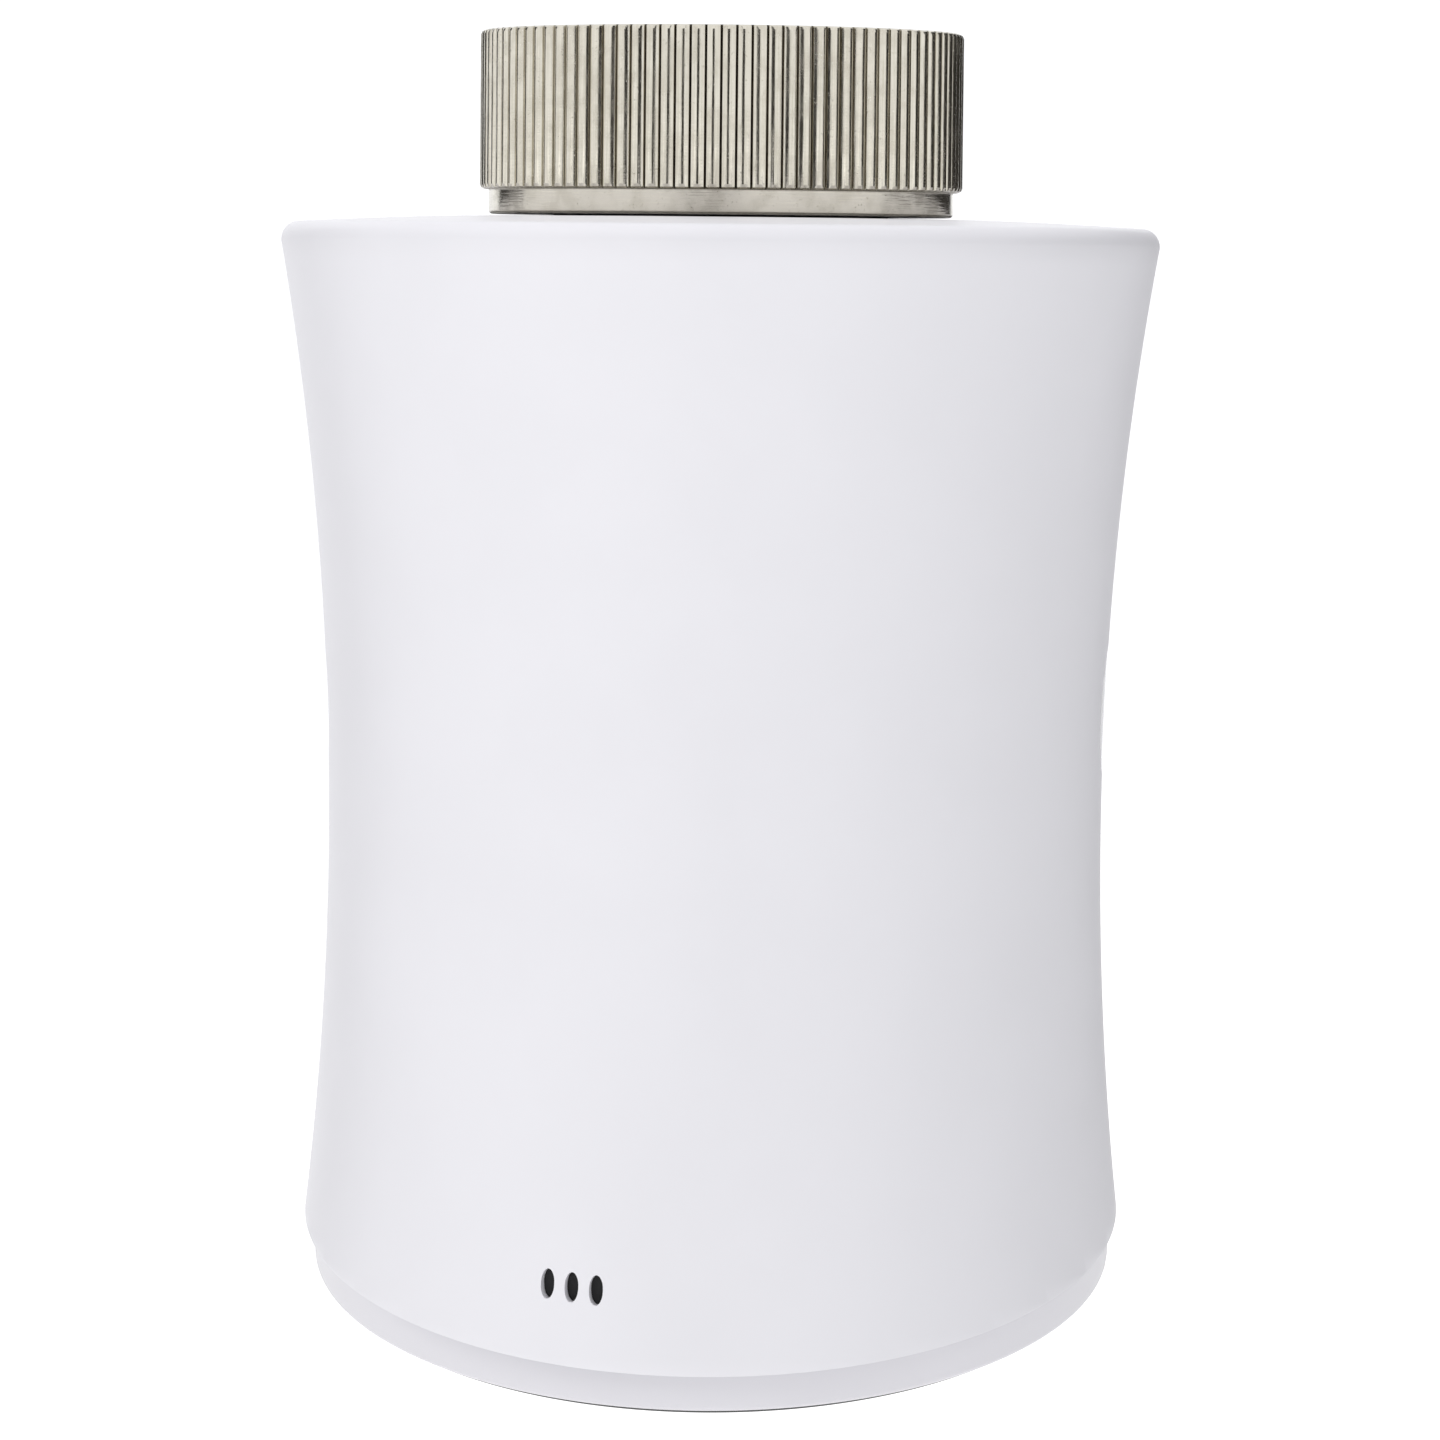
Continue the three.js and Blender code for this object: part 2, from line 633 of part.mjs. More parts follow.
const gearboxScrewTopZ = guideBottomZ + postHoleDepth - restGap;
const gearboxScrewProfile = [
  [0, gearboxBottomZ - restGap - screwHeadHeight],
  [screwHeadRadius, gearboxBottomZ - restGap - screwHeadHeight],
  [screwHeadRadius, gearboxBottomZ - restGap], [screwShankRadius, gearboxBottomZ - restGap],
  [screwShankRadius, gearboxScrewTopZ], [0, gearboxScrewTopZ],
];
postPlaces.forEach(([x, y], i) => {
  place(`gearbox_screw_${i + 1}`, turned(gearboxScrewProfile, screwFacets).translate(x, y, 0), steel);
});

// ---- gears ----
[['gear_1_axle', gear1At], ['gear_2_axle', gear2At]].forEach(([name, [x, y]]) => {
  const axle = cylinder(axleRadius, gearboxBottomZ + restGap, gearboxTopZ - restGap, x, y, 12);
  place(name, axle, steel);
});
const gearBore = axleRadius + runGap;
const gear2PinionAngle = meshedWith(gear2Angle, gear2PinionTeeth);
const gear1PinionAngle = meshedWith(gear1Angle, gear1PinionTeeth);
const motorPinionAngle = meshedWith(motorAngle, motorTeeth);

place('drive_gear', joined(
  plate(gearShape(driveTeeth, driveModule, gear2Angle, rodRadius + slideGap), driveBottomZ, driveTopZ),
  tube(hubRadius, rodRadius + slideGap, gearboxBottomZ + restGap, gearboxTopZ - restGap),
), gearPlastic);
place('gear_2', joined(
  plate(gearShape(gear2Teeth, fineModule, gear1Angle, gearBore), gear2TopZ - gearWidth, gear2TopZ, 4),
  plate(gearShape(gear2PinionTeeth, driveModule, gear2PinionAngle, gearBore), driveBottomZ, gear2TopZ, 4),
), gearPlastic).position.set(...gear2At, 0);
place('gear_1', joined(
  plate(gearShape(gear1Teeth, fineModule, motorAngle, gearBore), gear1TopZ - gearWidth, gear1TopZ, 4),
  plate(gearShape(gear1PinionTeeth, fineModule, gear1PinionAngle, gearBore),
    gear2TopZ - gearWidth, gear1TopZ, 4),
), gearPlastic).position.set(...gear1At, 0);
const motorPinion = gearShape(motorTeeth, fineModule, motorPinionAngle, axleRadius + runGap / 2);
place('motor_pinion', plate(motorPinion, gear1TopZ - gearWidth, gear1TopZ, 4), brass)
  .position.set(...motorAt, 0);

// ---- motor ----
const motorBottomZ = gearboxTopZ + restGap;
const motorTopZ = motorBottomZ + motorLength;
place('motor', cut(
  joined(
    cylinder(motorRadius, motorBottomZ, motorTopZ - motorCapHeight, 0, 0, rodFacets),
    cylinder(motorRadius - motorCapStep, motorTopZ - motorCapHeight - 0.5, motorTopZ, 0, 0, rodFacets),
  ),
  cylinder(axleRadius + runGap, motorBottomZ - overCut, motorBottomZ + motorShaftDepth, 0, 0, 12),
), steel).position.set(...motorAt, 0);
const motorShaft = cylinder(axleRadius, gear1TopZ - gearWidth - 0.2,
  motorBottomZ + motorShaftDepth - restGap, 0, 0, 12);
place('motor_shaft', motorShaft, steel).position.set(...motorAt, 0);

// ---- pusher ----
const rodBottomZ = padTopZ - padHeight - rodLength;
const notchWidth = guideRibWidth + 2 * slideGap;
const padNotches = [-1, 1].map((side) => {
  const inner = neckBore - guideRibDepth - slideGap;
  const [x0, x1] = side > 0 ? [inner, neckBore + 1] : [-neckBore - 1, -inner];
  return block(x0, x1, -notchWidth / 2, notchWidth / 2, padTopZ - padHeight - overCut, padTopZ + overCut);
});
place('pusher', cut(
  joined(
    cylinder(padRadius, padTopZ - padHeight, padTopZ, 0, 0, roundFacets),
    cylinder(rodRadius, rodBottomZ, padTopZ - 1, 0, 0, rodFacets),
  ),
  ...padNotches,
), steel);

// ---- motor board, hung under the gearbox, with its socket and the motor's leads ----
const motorBoardTopZ = gearboxBottomZ - motorBoardDrop;
place('motor_board', block(-motorBoardWidth / 2, motorBoardWidth / 2, motorBoardY,
  motorBoardY + motorBoardDepth, motorBoardTopZ - boardThickness, motorBoardTopZ), board);
const socketTopZ = motorBoardTopZ - boardThickness - restGap;
const socketBottomZ = socketTopZ - socketWall - socketDepth;
const socketHalfX = plugWidth / 2 + slideGap;
const socketHalfY = plugThickness / 2 + slideGap;
place('contact_socket', cut(
  toSolid(block(-socketHalfX - socketWall, socketHalfX + socketWall, plugY - socketHalfY - socketWall,
    plugY + socketHalfY + socketWall, socketBottomZ, socketTopZ)),
  block(-socketHalfX, socketHalfX, plugY - socketHalfY, plugY + socketHalfY,
    socketBottomZ - overCut, socketTopZ - socketWall),
), darkPlastic);

const motorCapX = motorAt[0] + motorRadius - motorCapStep;
[-leadSpread, leadSpread].forEach((side, i) => {
  const y = leadY + side;
  const boardZ = motorBoardTopZ - boardThickness / 2;
  const route = [
    [motorCapX + 0.5, motorAt[1] - 1 + side, motorTopZ - 1.3],
    [leadX - 3, (motorAt[1] + y) / 2, motorTopZ - 1.8], [leadX, y, motorTopZ - 6],
    [leadX, y, (motorTopZ + boardZ) / 2], [leadX, y, boardZ + 5], [leadX - 2, y, boardZ + 0.4],
    [motorBoardWidth / 2 + restGap, y, boardZ],
  ].map((point) => new THREE.Vector3(...point));
  place(`motor_lead_${i + 1}`, wire(route, leadRadius, 20, 8), i ? wireBlack : wireRed);
});

// ---- front cap: skirt inside the sleeve, slanted plate, screw bosses, display window ----
const capTopHeight = restGap;
const capPlateBottom = capTopHeight + capPlateThickness;
const skirtInner = capSkirtRadius - capSkirtWall;
const longest = 100;
const capSkirt = cut(
  toSolid(tube(capSkirtRadius, skirtInner, -longest, capSkirtTopZ, shellFacets)),
  outsideSlant(capPlateBottom - 0.2),
  block(-capSkirtRadius - 1, capSkirtRadius + 1, -capSkirtRadius - 1, trayFrontY + 0.5,
    trayBottomZ - restGap, capSkirtTopZ + overCut),
);
const capPlate = slantedToWorld(cylinder(capPlateRadius, -capPlateBottom, -capTopHeight, 0, 0, shellFacets));
const trayBosses = [-1, 1].map((side) => (
  cylinder(postRadius + 0.1, -longest, trayBottomZ - restGap, side * trayBossX, trayBossY)));
const bossZ = sleeveEdgeZ + trayBossY * Math.tan(frontTilt);
const bossHoles = [-1, 1].map((side) => (
  cylinder(postHoleRadius, bossZ + 1, trayBottomZ + overCut, side * trayBossX, trayBossY)));
const windowHalfX = ledWidth / 2 + restGap;
const windowHalfY = ledHeight / 2 + restGap;
const displayWindow = slantedToWorld(block(-windowHalfX, windowHalfX, -windowHalfY, windowHalfY,
  -capPlateBottom - overCut, overCut));
const ventRadius = flankAt(sleeveEdgeZ);
const ventZ = sleeveEdgeZ - ventRadius * Math.cos(ventAzimuth) * Math.tan(frontTilt) + ventAboveEdge;
const [sensorWindowWidth, sensorWindowHeight] = sensorWindowSize;
const sensorWindow = block(-sensorWindowWidth / 2, sensorWindowWidth / 2, -capSkirtRadius - 2,
  -skirtInner + 3, ventZ - sensorWindowHeight / 2, ventZ + sensorWindowHeight / 2)
  .rotateZ(ventAzimuth);
const capBosses = cut(joined(...trayBosses), outsideSlant(capPlateBottom - 0.2));
place('front_cap', cut(
  capSkirt.add(toSolid(capPlate)).add(capBosses),
  ...bossHoles, displayWindow, sensorWindow,
), whitePlastic);

// ---- setting ring, display and their parts, along the slanted axis ----
const ringBottom = -ringHeight;
const lensBottom = ringBottom - lensProud;
const lensTop = lensBottom + lensThickness;
const lipTop = -capPlateBottom - restGap;
const lipBottom = lensTop + restGap;
place('dial_ring', turned([
  [ringInner, -capTopHeight], [ringRadius, -capTopHeight],
  [ringRadius, ringBottom + ringRound], [ringRadius - ringRound * 0.3, ringBottom + ringRound * 0.3],
  [ringRadius - ringRound, ringBottom], [ringInner, ringBottom],
  [ringInner, lipBottom], [ringLipRadius, lipBottom], [ringLipRadius, lipTop], [ringInner, lipTop],
], shellFacets), whitePlastic, slantedEnd);

const lensBevel = 0.15;
place('display_lens', turned([
  [0, lensBottom], [lensRadius - lensBevel, lensBottom], [lensRadius, lensBottom + lensBevel],
  [lensRadius, lensTop], [0, lensTop],
], shellFacets), blackGlass, slantedEnd);
const lightGuideRadius = ringLipRadius - lightGuideGap;
place('light_guide', cylinder(lightGuideRadius, lensTop + restGap, lipTop, 0, 0, roundFacets),
  diffuser, slantedEnd);
const ledTop = lipTop + restGap + ledDepth;
place('led_matrix', block(-ledWidth / 2, ledWidth / 2, -ledHeight / 2, ledHeight / 2,
  lipTop + restGap, ledTop), chip, slantedEnd);

const displayBoardTop = ledTop + restGap + boardThickness;
const corner = Math.acos(displayBoardHalf / displayBoardRadius);
const displayBoardShape = new THREE.Shape()
  .absarc(0, 0, displayBoardRadius, corner, Math.PI - corner, false)
  .absarc(0, 0, displayBoardRadius, Math.PI + corner, 2 * Math.PI - corner, false);
place('display_board', plate(displayBoardShape, displayBoardTop - boardThickness, displayBoardTop, 16),
  board, slantedEnd);
const sensorX = sensorRadius * Math.sin(ventAzimuth);
const sensorY = -sensorRadius * Math.cos(ventAzimuth);
place('temperature_sensor', new THREE.BoxGeometry(...sensorSize)
  .translate(sensorX, sensorY, displayBoardTop + restGap + sensorSize[2] / 2), chip, slantedEnd);

// ---- battery tray: part of a tube along the sleeve's wall, closed at both ends ----
const bridgeBottomZ = cellTopZ + restGap;
const behind = block(-40, 40, trayFrontY, 40, -longest, 0);
const driveClearance = cylinder(drivePlateRadius + 0.6, -longest, 0, 0, 0, roundFacets);
const trayRails = [-1, 1].map((side) => {
  const inner = cellX + cellRadius + trayRailGap;
  const [x0, x1] = side > 0 ? [inner, trayOuter] : [-trayOuter, -inner];
  return block(x0, x1, trayFrontY - trayRailHeight, trayFrontY, trayBottomZ, trayTopZ);
});
const traySkin = joined(
  tube(trayOuter, trayInner, trayBottomZ, trayTopZ, shellFacets),
  ...trayRails,
  cylinder(trayOuter - 0.1, trayTopZ - trayEndWall, trayTopZ, 0, 0, shellFacets),
  cylinder(trayOuter - 0.1, trayBottomZ, trayBottomZ + trayEndWall, 0, 0, shellFacets),
).intersect(toSolid(cylinder(trayOuter, -longest, 0, 0, 0, shellFacets)));
const trayScrewHoles = [-1, 1].map((side) => (
  cylinder(postHoleRadius, -longest, trayBottomZ + trayEndWall + overCut, side * trayBossX, trayBossY)));
place('battery_tray', cut(traySkin, behind, driveClearance, ...trayScrewHoles), greyPlastic);

const trayFloorZ = trayBottomZ + trayEndWall;
const trayScrewProfile = [
  [0, trayFloorZ + restGap + screwHeadHeight], [screwHeadRadius, trayFloorZ + restGap + screwHeadHeight],
  [screwHeadRadius, trayFloorZ + restGap], [screwShankRadius, trayFloorZ + restGap],
  [screwShankRadius, bossZ + 1 + restGap], [0, bossZ + 1 + restGap],
];
[-1, 1].forEach((side, i) => {
  const screw = turned(trayScrewProfile, screwFacets).translate(side * trayBossX, trayBossY, 0);
  place(`tray_screw_${i + 1}`, screw, steel);
});

// ---- cells in series: the left one stands nub up, the right one nub down ----
const cellProfile = [
  [0, 0], [cellRadius - 0.5, 0], [cellRadius, 0.5], [cellRadius, cellLength - cellNubHeight - 0.5],
  [cellRadius - 0.5, cellLength - cellNubHeight], [cellNubRadius, cellLength - cellNubHeight],
  [cellNubRadius, cellLength], [0, cellLength],
];
const cellBottomZ = cellTopZ - cellLength;
const leftCell = place('battery_left', turned(cellProfile, rodFacets), cellJacket);
leftCell.position.set(-cellX, cellY, cellBottomZ);
const rightCell = place('battery_right', turned(cellProfile, rodFacets), cellJacket);
rightCell.position.set(cellX, cellY, cellTopZ);
rightCell.rotation.x = Math.PI;

const contactTopZ = bridgeBottomZ + contactThickness;
place('battery_bridge', block(-cellX - bridgeMargin, cellX + bridgeMargin, cellY - bridgeMargin,
  cellY + bridgeMargin, bridgeBottomZ, contactTopZ), nickel);
const contactFloorZ = trayFloorZ + restGap;
place('battery_spring', coil(batterySpringRadius, batterySpringTopRadius,
  contactFloorZ, cellBottomZ - restGap, 3, 0.3), nickel)
  .position.set(-cellX, cellY, 0);
const contactTop = cellBottomZ - restGap - contactFloorZ;
const contactShape = new THREE.Shape([
  [-4, 0], [4, 0], [4, contactThickness], [2.6, contactThickness], [1.4, contactTop],
  [-1.4, contactTop], [-2.6, contactThickness], [-4, contactThickness],
].map(([x, z]) => new THREE.Vector2(x, z)));
place('battery_contact', new THREE.ExtrudeGeometry(contactShape, { depth: contactWidth, bevelEnabled: false })
  .rotateX(Math.PI / 2)
  .translate(cellX, cellY + contactWidth / 2, contactFloorZ), nickel);

// ---- main board and what stands on it ----
const partY = mainBoardY + boardThickness + restGap;
place('main_board', block(-mainBoardHalf, mainBoardHalf, mainBoardY, mainBoardY + boardThickness,
  mainBoardBottomZ, mainBoardTopZ), board);
[['radio_module', radio, steel], ['processor', processor, chip]].forEach(([name, size, material]) => {
  place(name, block(size.x0, size.x1, partY, partY + size.height, size.z0, size.z1), material);
});
place('contact_plug', joined(
  block(-plugWidth / 2 - 1, plugWidth / 2 + 1, partY, plugY + plugThickness / 2,
    socketBottomZ - 2 * restGap - plugBodyHeight, socketBottomZ - 2 * restGap),
  block(-plugWidth / 2, plugWidth / 2, plugY - plugThickness / 2, plugY + plugThickness / 2,
    socketBottomZ - 2, socketTopZ - socketWall - 0.6),
), darkPlastic);

export default root;
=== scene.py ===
import math

import bmesh
import bpy
from mathutils import Euler, Matrix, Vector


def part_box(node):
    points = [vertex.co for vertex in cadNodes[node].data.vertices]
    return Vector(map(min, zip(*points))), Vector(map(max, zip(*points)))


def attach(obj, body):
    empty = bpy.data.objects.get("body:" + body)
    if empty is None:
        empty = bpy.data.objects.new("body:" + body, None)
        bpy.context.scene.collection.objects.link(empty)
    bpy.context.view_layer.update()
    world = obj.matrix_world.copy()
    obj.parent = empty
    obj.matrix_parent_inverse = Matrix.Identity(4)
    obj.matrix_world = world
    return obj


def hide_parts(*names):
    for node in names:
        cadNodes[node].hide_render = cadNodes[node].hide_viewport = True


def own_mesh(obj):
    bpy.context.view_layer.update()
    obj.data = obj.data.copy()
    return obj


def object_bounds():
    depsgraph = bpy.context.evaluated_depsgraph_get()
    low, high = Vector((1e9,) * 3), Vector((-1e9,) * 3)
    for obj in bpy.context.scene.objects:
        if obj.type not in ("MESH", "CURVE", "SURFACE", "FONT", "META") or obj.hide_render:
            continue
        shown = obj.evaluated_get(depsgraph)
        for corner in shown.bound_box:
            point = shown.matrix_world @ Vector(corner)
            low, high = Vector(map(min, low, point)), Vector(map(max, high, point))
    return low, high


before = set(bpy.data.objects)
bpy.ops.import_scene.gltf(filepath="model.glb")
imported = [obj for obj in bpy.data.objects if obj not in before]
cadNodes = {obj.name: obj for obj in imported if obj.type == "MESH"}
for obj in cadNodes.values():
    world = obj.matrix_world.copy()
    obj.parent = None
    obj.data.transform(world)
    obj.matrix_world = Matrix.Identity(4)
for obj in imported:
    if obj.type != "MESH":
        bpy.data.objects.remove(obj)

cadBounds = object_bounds()
mm = 0.001
weld = 1e-6              # points closer than this are one point
tiltDegrees = 15         # of the display end
print("frame loaded,", len(cadNodes), "nodes")


def boxOf(node):
    low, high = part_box(node)
    return [value / mm for value in low], [value / mm for value in high]


def middleOf(node):
    low, high = boxOf(node)
    return [(a + b) / 2 for a, b in zip(low, high)]


# camera
cameraSet = {
    "place": (16.01, -460.62, -7.79),
    "focal": 162.9,
    "down": 4.058,
    "left": 1.954,
    "roll": 0.568,
}


def setCamera():
    view = bpy.data.cameras.new("camera")
    view.sensor_width = 36
    view.lens = cameraSet["focal"]
    view.clip_start = 0.01
    view.clip_end = 50
    holder = bpy.data.objects.new("camera", view)
    bpy.context.scene.collection.objects.link(holder)
    aim = Euler((math.radians(90 - cameraSet["down"]), 0, math.radians(cameraSet["left"]))).to_matrix()
    aim = aim @ Matrix.Rotation(math.radians(cameraSet["roll"]), 3, "Z")
    holder.rotation_euler = aim.to_euler()
    holder.location = [value * mm for value in cameraSet["place"]]
    bpy.context.scene.camera = holder


setCamera()
bpy.context.scene.view_settings.view_transform = "Standard"


# picking up pieces, points and faces
def letGo():
    bpy.ops.object.select_all(action="DESELECT")


def takeUp(piece):
    letGo()
    piece.select_set(True)
    bpy.context.view_layer.objects.active = piece


def openUp(piece):
    takeUp(piece)
    bpy.ops.object.mode_set(mode="EDIT")
    bpy.ops.mesh.select_mode(type="VERT")


def closeUp():
    bpy.ops.object.mode_set(mode="OBJECT")


def pickPoints(test):
    bpy.ops.mesh.select_mode(type="VERT")
    bpy.ops.mesh.select_all(action="DESELECT")
    mesh = bmesh.from_edit_mesh(bpy.context.edit_object.data)
    for point in mesh.verts:
        if test(point):
            point.select_set(True)
    mesh.select_flush(True)
    bmesh.update_edit_mesh(bpy.context.edit_object.data)


def pickFaces(test):
    bpy.ops.mesh.select_mode(type="FACE")
    bpy.ops.mesh.select_all(action="DESELECT")
    mesh = bmesh.from_edit_mesh(bpy.context.edit_object.data)
    for face in mesh.faces:
        if test(face.calc_center_median() / mm, face.normal):
            face.select_set(True)
    bmesh.update_edit_mesh(bpy.context.edit_object.data)


def atRing(radius, height):
    def test(point):
        across = math.hypot(point.co.x, point.co.y) / mm
        return abs(across - radius) < 1e-3 and abs(point.co.z / mm - height) < 1e-3
    return test


def setDown(piece, place=(0, 0, 0), turn=(0, 0, 0)):
    takeUp(piece)
    piece.location = [value * mm for value in place]
    piece.rotation_euler = [math.radians(value) for value in turn]
    bpy.ops.object.transform_apply(location=True, rotation=True, scale=True)
    return piece


# a profile of (radius, height) in millimetres, turned about Z by extruding ring after ring
def turnedPiece(name, profile, segments=96, ends="ring"):
    letGo()
    radius, height = profile[0]
    bpy.ops.mesh.primitive_circle_add(vertices=segments, radius=radius * mm)
    piece = bpy.context.active_object
    piece.name = name
    bpy.ops.object.mode_set(mode="EDIT")
    bpy.ops.mesh.select_all(action="SELECT")
    bpy.ops.transform.translate(value=(0, 0, height * mm))
    rest = profile[1:] + (profile[:1] if ends == "ring" else [])
    for nextRadius, nextHeight in rest:
        rise = (0, 0, (nextHeight - height) * mm)
        bpy.ops.mesh.extrude_region_move(TRANSFORM_OT_translate={"value": rise})
        growth = nextRadius / radius
        if growth != 1:
            bpy.ops.transform.resize(value=(growth, growth, 1), center_override=(0, 0, 0))
        radius, height = nextRadius, nextHeight
    bpy.ops.mesh.select_all(action="SELECT")
    bpy.ops.mesh.remove_doubles(threshold=weld)
    if ends == "flat":
        for end in (profile[0], profile[-1]):
            pickPoints(atRing(*end))
            bpy.ops.mesh.edge_face_add()
    bpy.ops.mesh.select_all(action="SELECT")
    bpy.ops.mesh.normals_make_consistent(inside=False)
    closeUp()
    return piece


# moves points straight in or out: wanted(radius, angle, height) gives the new radius, or None
def reshape(piece, wanted):
    groups = {}
    for point in piece.data.vertices:
        x, y, z = point.co / mm
        radius = math.hypot(x, y)
        goal = wanted(radius, math.atan2(y, x), z)
        if goal is not None and abs(goal - radius) > 1e-4:
            groups.setdefault(round(goal / radius, 5), set()).add(point.index)
    openUp(piece)
    for growth, members in sorted(groups.items()):
        pickPoints(lambda point, chosen=members: point.index in chosen)
        bpy.ops.transform.resize(value=(growth, growth, 1), center_override=(0, 0, 0))
    closeUp()


def arc(centreRadius, centreHeight, across, up, start, end, steps):
    points = []
    for step in range(steps + 1):
        angle = math.radians(start + (end - start) * step / steps)
        points.append((centreRadius + across * math.cos(angle), centreHeight + up * math.sin(angle)))
    return points


def blockPiece(name, low, high):
    letGo()
    middle = [(a + b) / 2 * mm for a, b in zip(low, high)]
    size = [(b - a) * mm for a, b in zip(low, high)]
    bpy.ops.mesh.primitive_cube_add(size=1, location=middle, scale=size)
    piece = bpy.context.active_object
    piece.name = name
    bpy.ops.object.transform_apply(location=True, rotation=True, scale=True)
    return piece


def softenEdges(piece, width, steps=2, angle=32):
    takeUp(piece)
    soft = piece.modifiers.new("soft edges", "BEVEL")
    soft.width = width * mm
    soft.segments = steps
    soft.limit_method = "ANGLE"
    soft.angle_limit = math.radians(angle)
    bpy.ops.object.modifier_apply(modifier=soft.name)
    return piece


def combine(piece, *tools, way="DIFFERENCE"):
    for tool in tools:
        takeUp(piece)
        change = piece.modifiers.new("cut", "BOOLEAN")
        change.object = tool
        change.operation = way
        change.solver = "EXACT"
        bpy.ops.object.modifier_apply(modifier=change.name)
        bpy.data.objects.remove(tool)
    return piece


def joinUp(pieces):
    letGo()
    for piece in pieces:
        piece.select_set(True)
    bpy.context.view_layer.objects.active = pieces[0]
    if len(pieces) > 1:
        bpy.ops.object.join()
    return pieces[0]


def twinOf(piece, name):
    twin = piece.copy()
    twin.data = piece.data.copy()
    twin.name = name
    bpy.context.scene.collection.objects.link(twin)
    return twin


# a copy of a CAD node with its triangles merged into whole faces and its edges softened
def refinedCopy(node, name, soft=0.12, steps=2):
    piece = bpy.data.objects.new(name, cadNodes[node].data.copy())
    bpy.context.scene.collection.objects.link(piece)
    openUp(piece)
    bpy.ops.mesh.select_all(action="SELECT")
    bpy.ops.mesh.remove_doubles(threshold=weld)
    bpy.ops.mesh.dissolve_limited(angle_limit=math.radians(0.5))
    closeUp()
    return softenEdges(piece, soft, steps) if soft else piece


# a coil of round wire about Z, made by screwing the wire's section round the axis
def coilPiece(name, coilRadius, wireRadius, low, high, turns, steps=32):
    letGo()
    bpy.ops.mesh.primitive_circle_add(vertices=12, radius=wireRadius * mm, rotation=(math.pi / 2, 0, 0),
                                      location=(coilRadius * mm, 0, (low + wireRadius) * mm))
    piece = bpy.context.active_object
    piece.name = name
    bpy.ops.object.transform_apply(location=True, rotation=True, scale=True)
    screw = piece.modifiers.new("coil", "SCREW")
    screw.axis = "Z"
    screw.iterations = turns
    screw.screw_offset = (high - low - 2 * wireRadius) / turns * mm
    screw.steps = steps
    screw.render_steps = steps
    screw.use_merge_vertices = False
    bpy.ops.object.modifier_apply(modifier=screw.name)
    openUp(piece)
    bpy.ops.mesh.select_all(action="DESELECT")
    bpy.ops.mesh.select_non_manifold()
    bpy.ops.mesh.edge_face_add()
    bpy.ops.mesh.select_all(action="SELECT")
    bpy.ops.mesh.normals_make_consistent(inside=False)
    closeUp()
    return piece


def finishPiece(piece, body, finish, stands=(), smooth=38):
    takeUp(piece)
    bpy.ops.object.shade_smooth_by_angle(angle=math.radians(smooth))
    piece.data.materials.clear()
    piece.data.materials.append(finish)
    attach(piece, body)
    if stands:
        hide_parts(*stands)
    return piece


# shader maths written as plain expressions
class Signal:
    def __init__(self, finish, socket):
        self.finish = finish
        self.socket = socket

    def maths(self, operation, *values):
        return self.finish.add("ShaderNodeMath", {"operation": operation}, values)

    def __add__(self, other):
        return self.maths("ADD", self, other)

    def __sub__(self, other):
        return self.maths("SUBTRACT", self, other)

    def __rsub__(self, other):
        return self.maths("SUBTRACT", other, self)

    def __mul__(self, other):
        return self.maths("MULTIPLY", self, other)

    def __truediv__(self, other):
        return self.maths("DIVIDE", self, other)

    def __rtruediv__(self, other):
        return self.maths("DIVIDE", other, self)

    def __pow__(self, other):
        return self.maths("POWER", self, other)

    def __mod__(self, other):
        return self.maths("FLOORED_MODULO", self, other)

    def __abs__(self):
        return self.maths("ABSOLUTE", self)

    def __neg__(self):
        return self.maths("MULTIPLY", self, -1)

    __radd__ = __add__
    __rmul__ = __mul__

    def between(self, low, high, toLow=0.0, toHigh=1.0):
        return self.finish.add("ShaderNodeMapRange", {"interpolation_type": "SMOOTHSTEP"},
                               [self, low, high, toLow, toHigh])


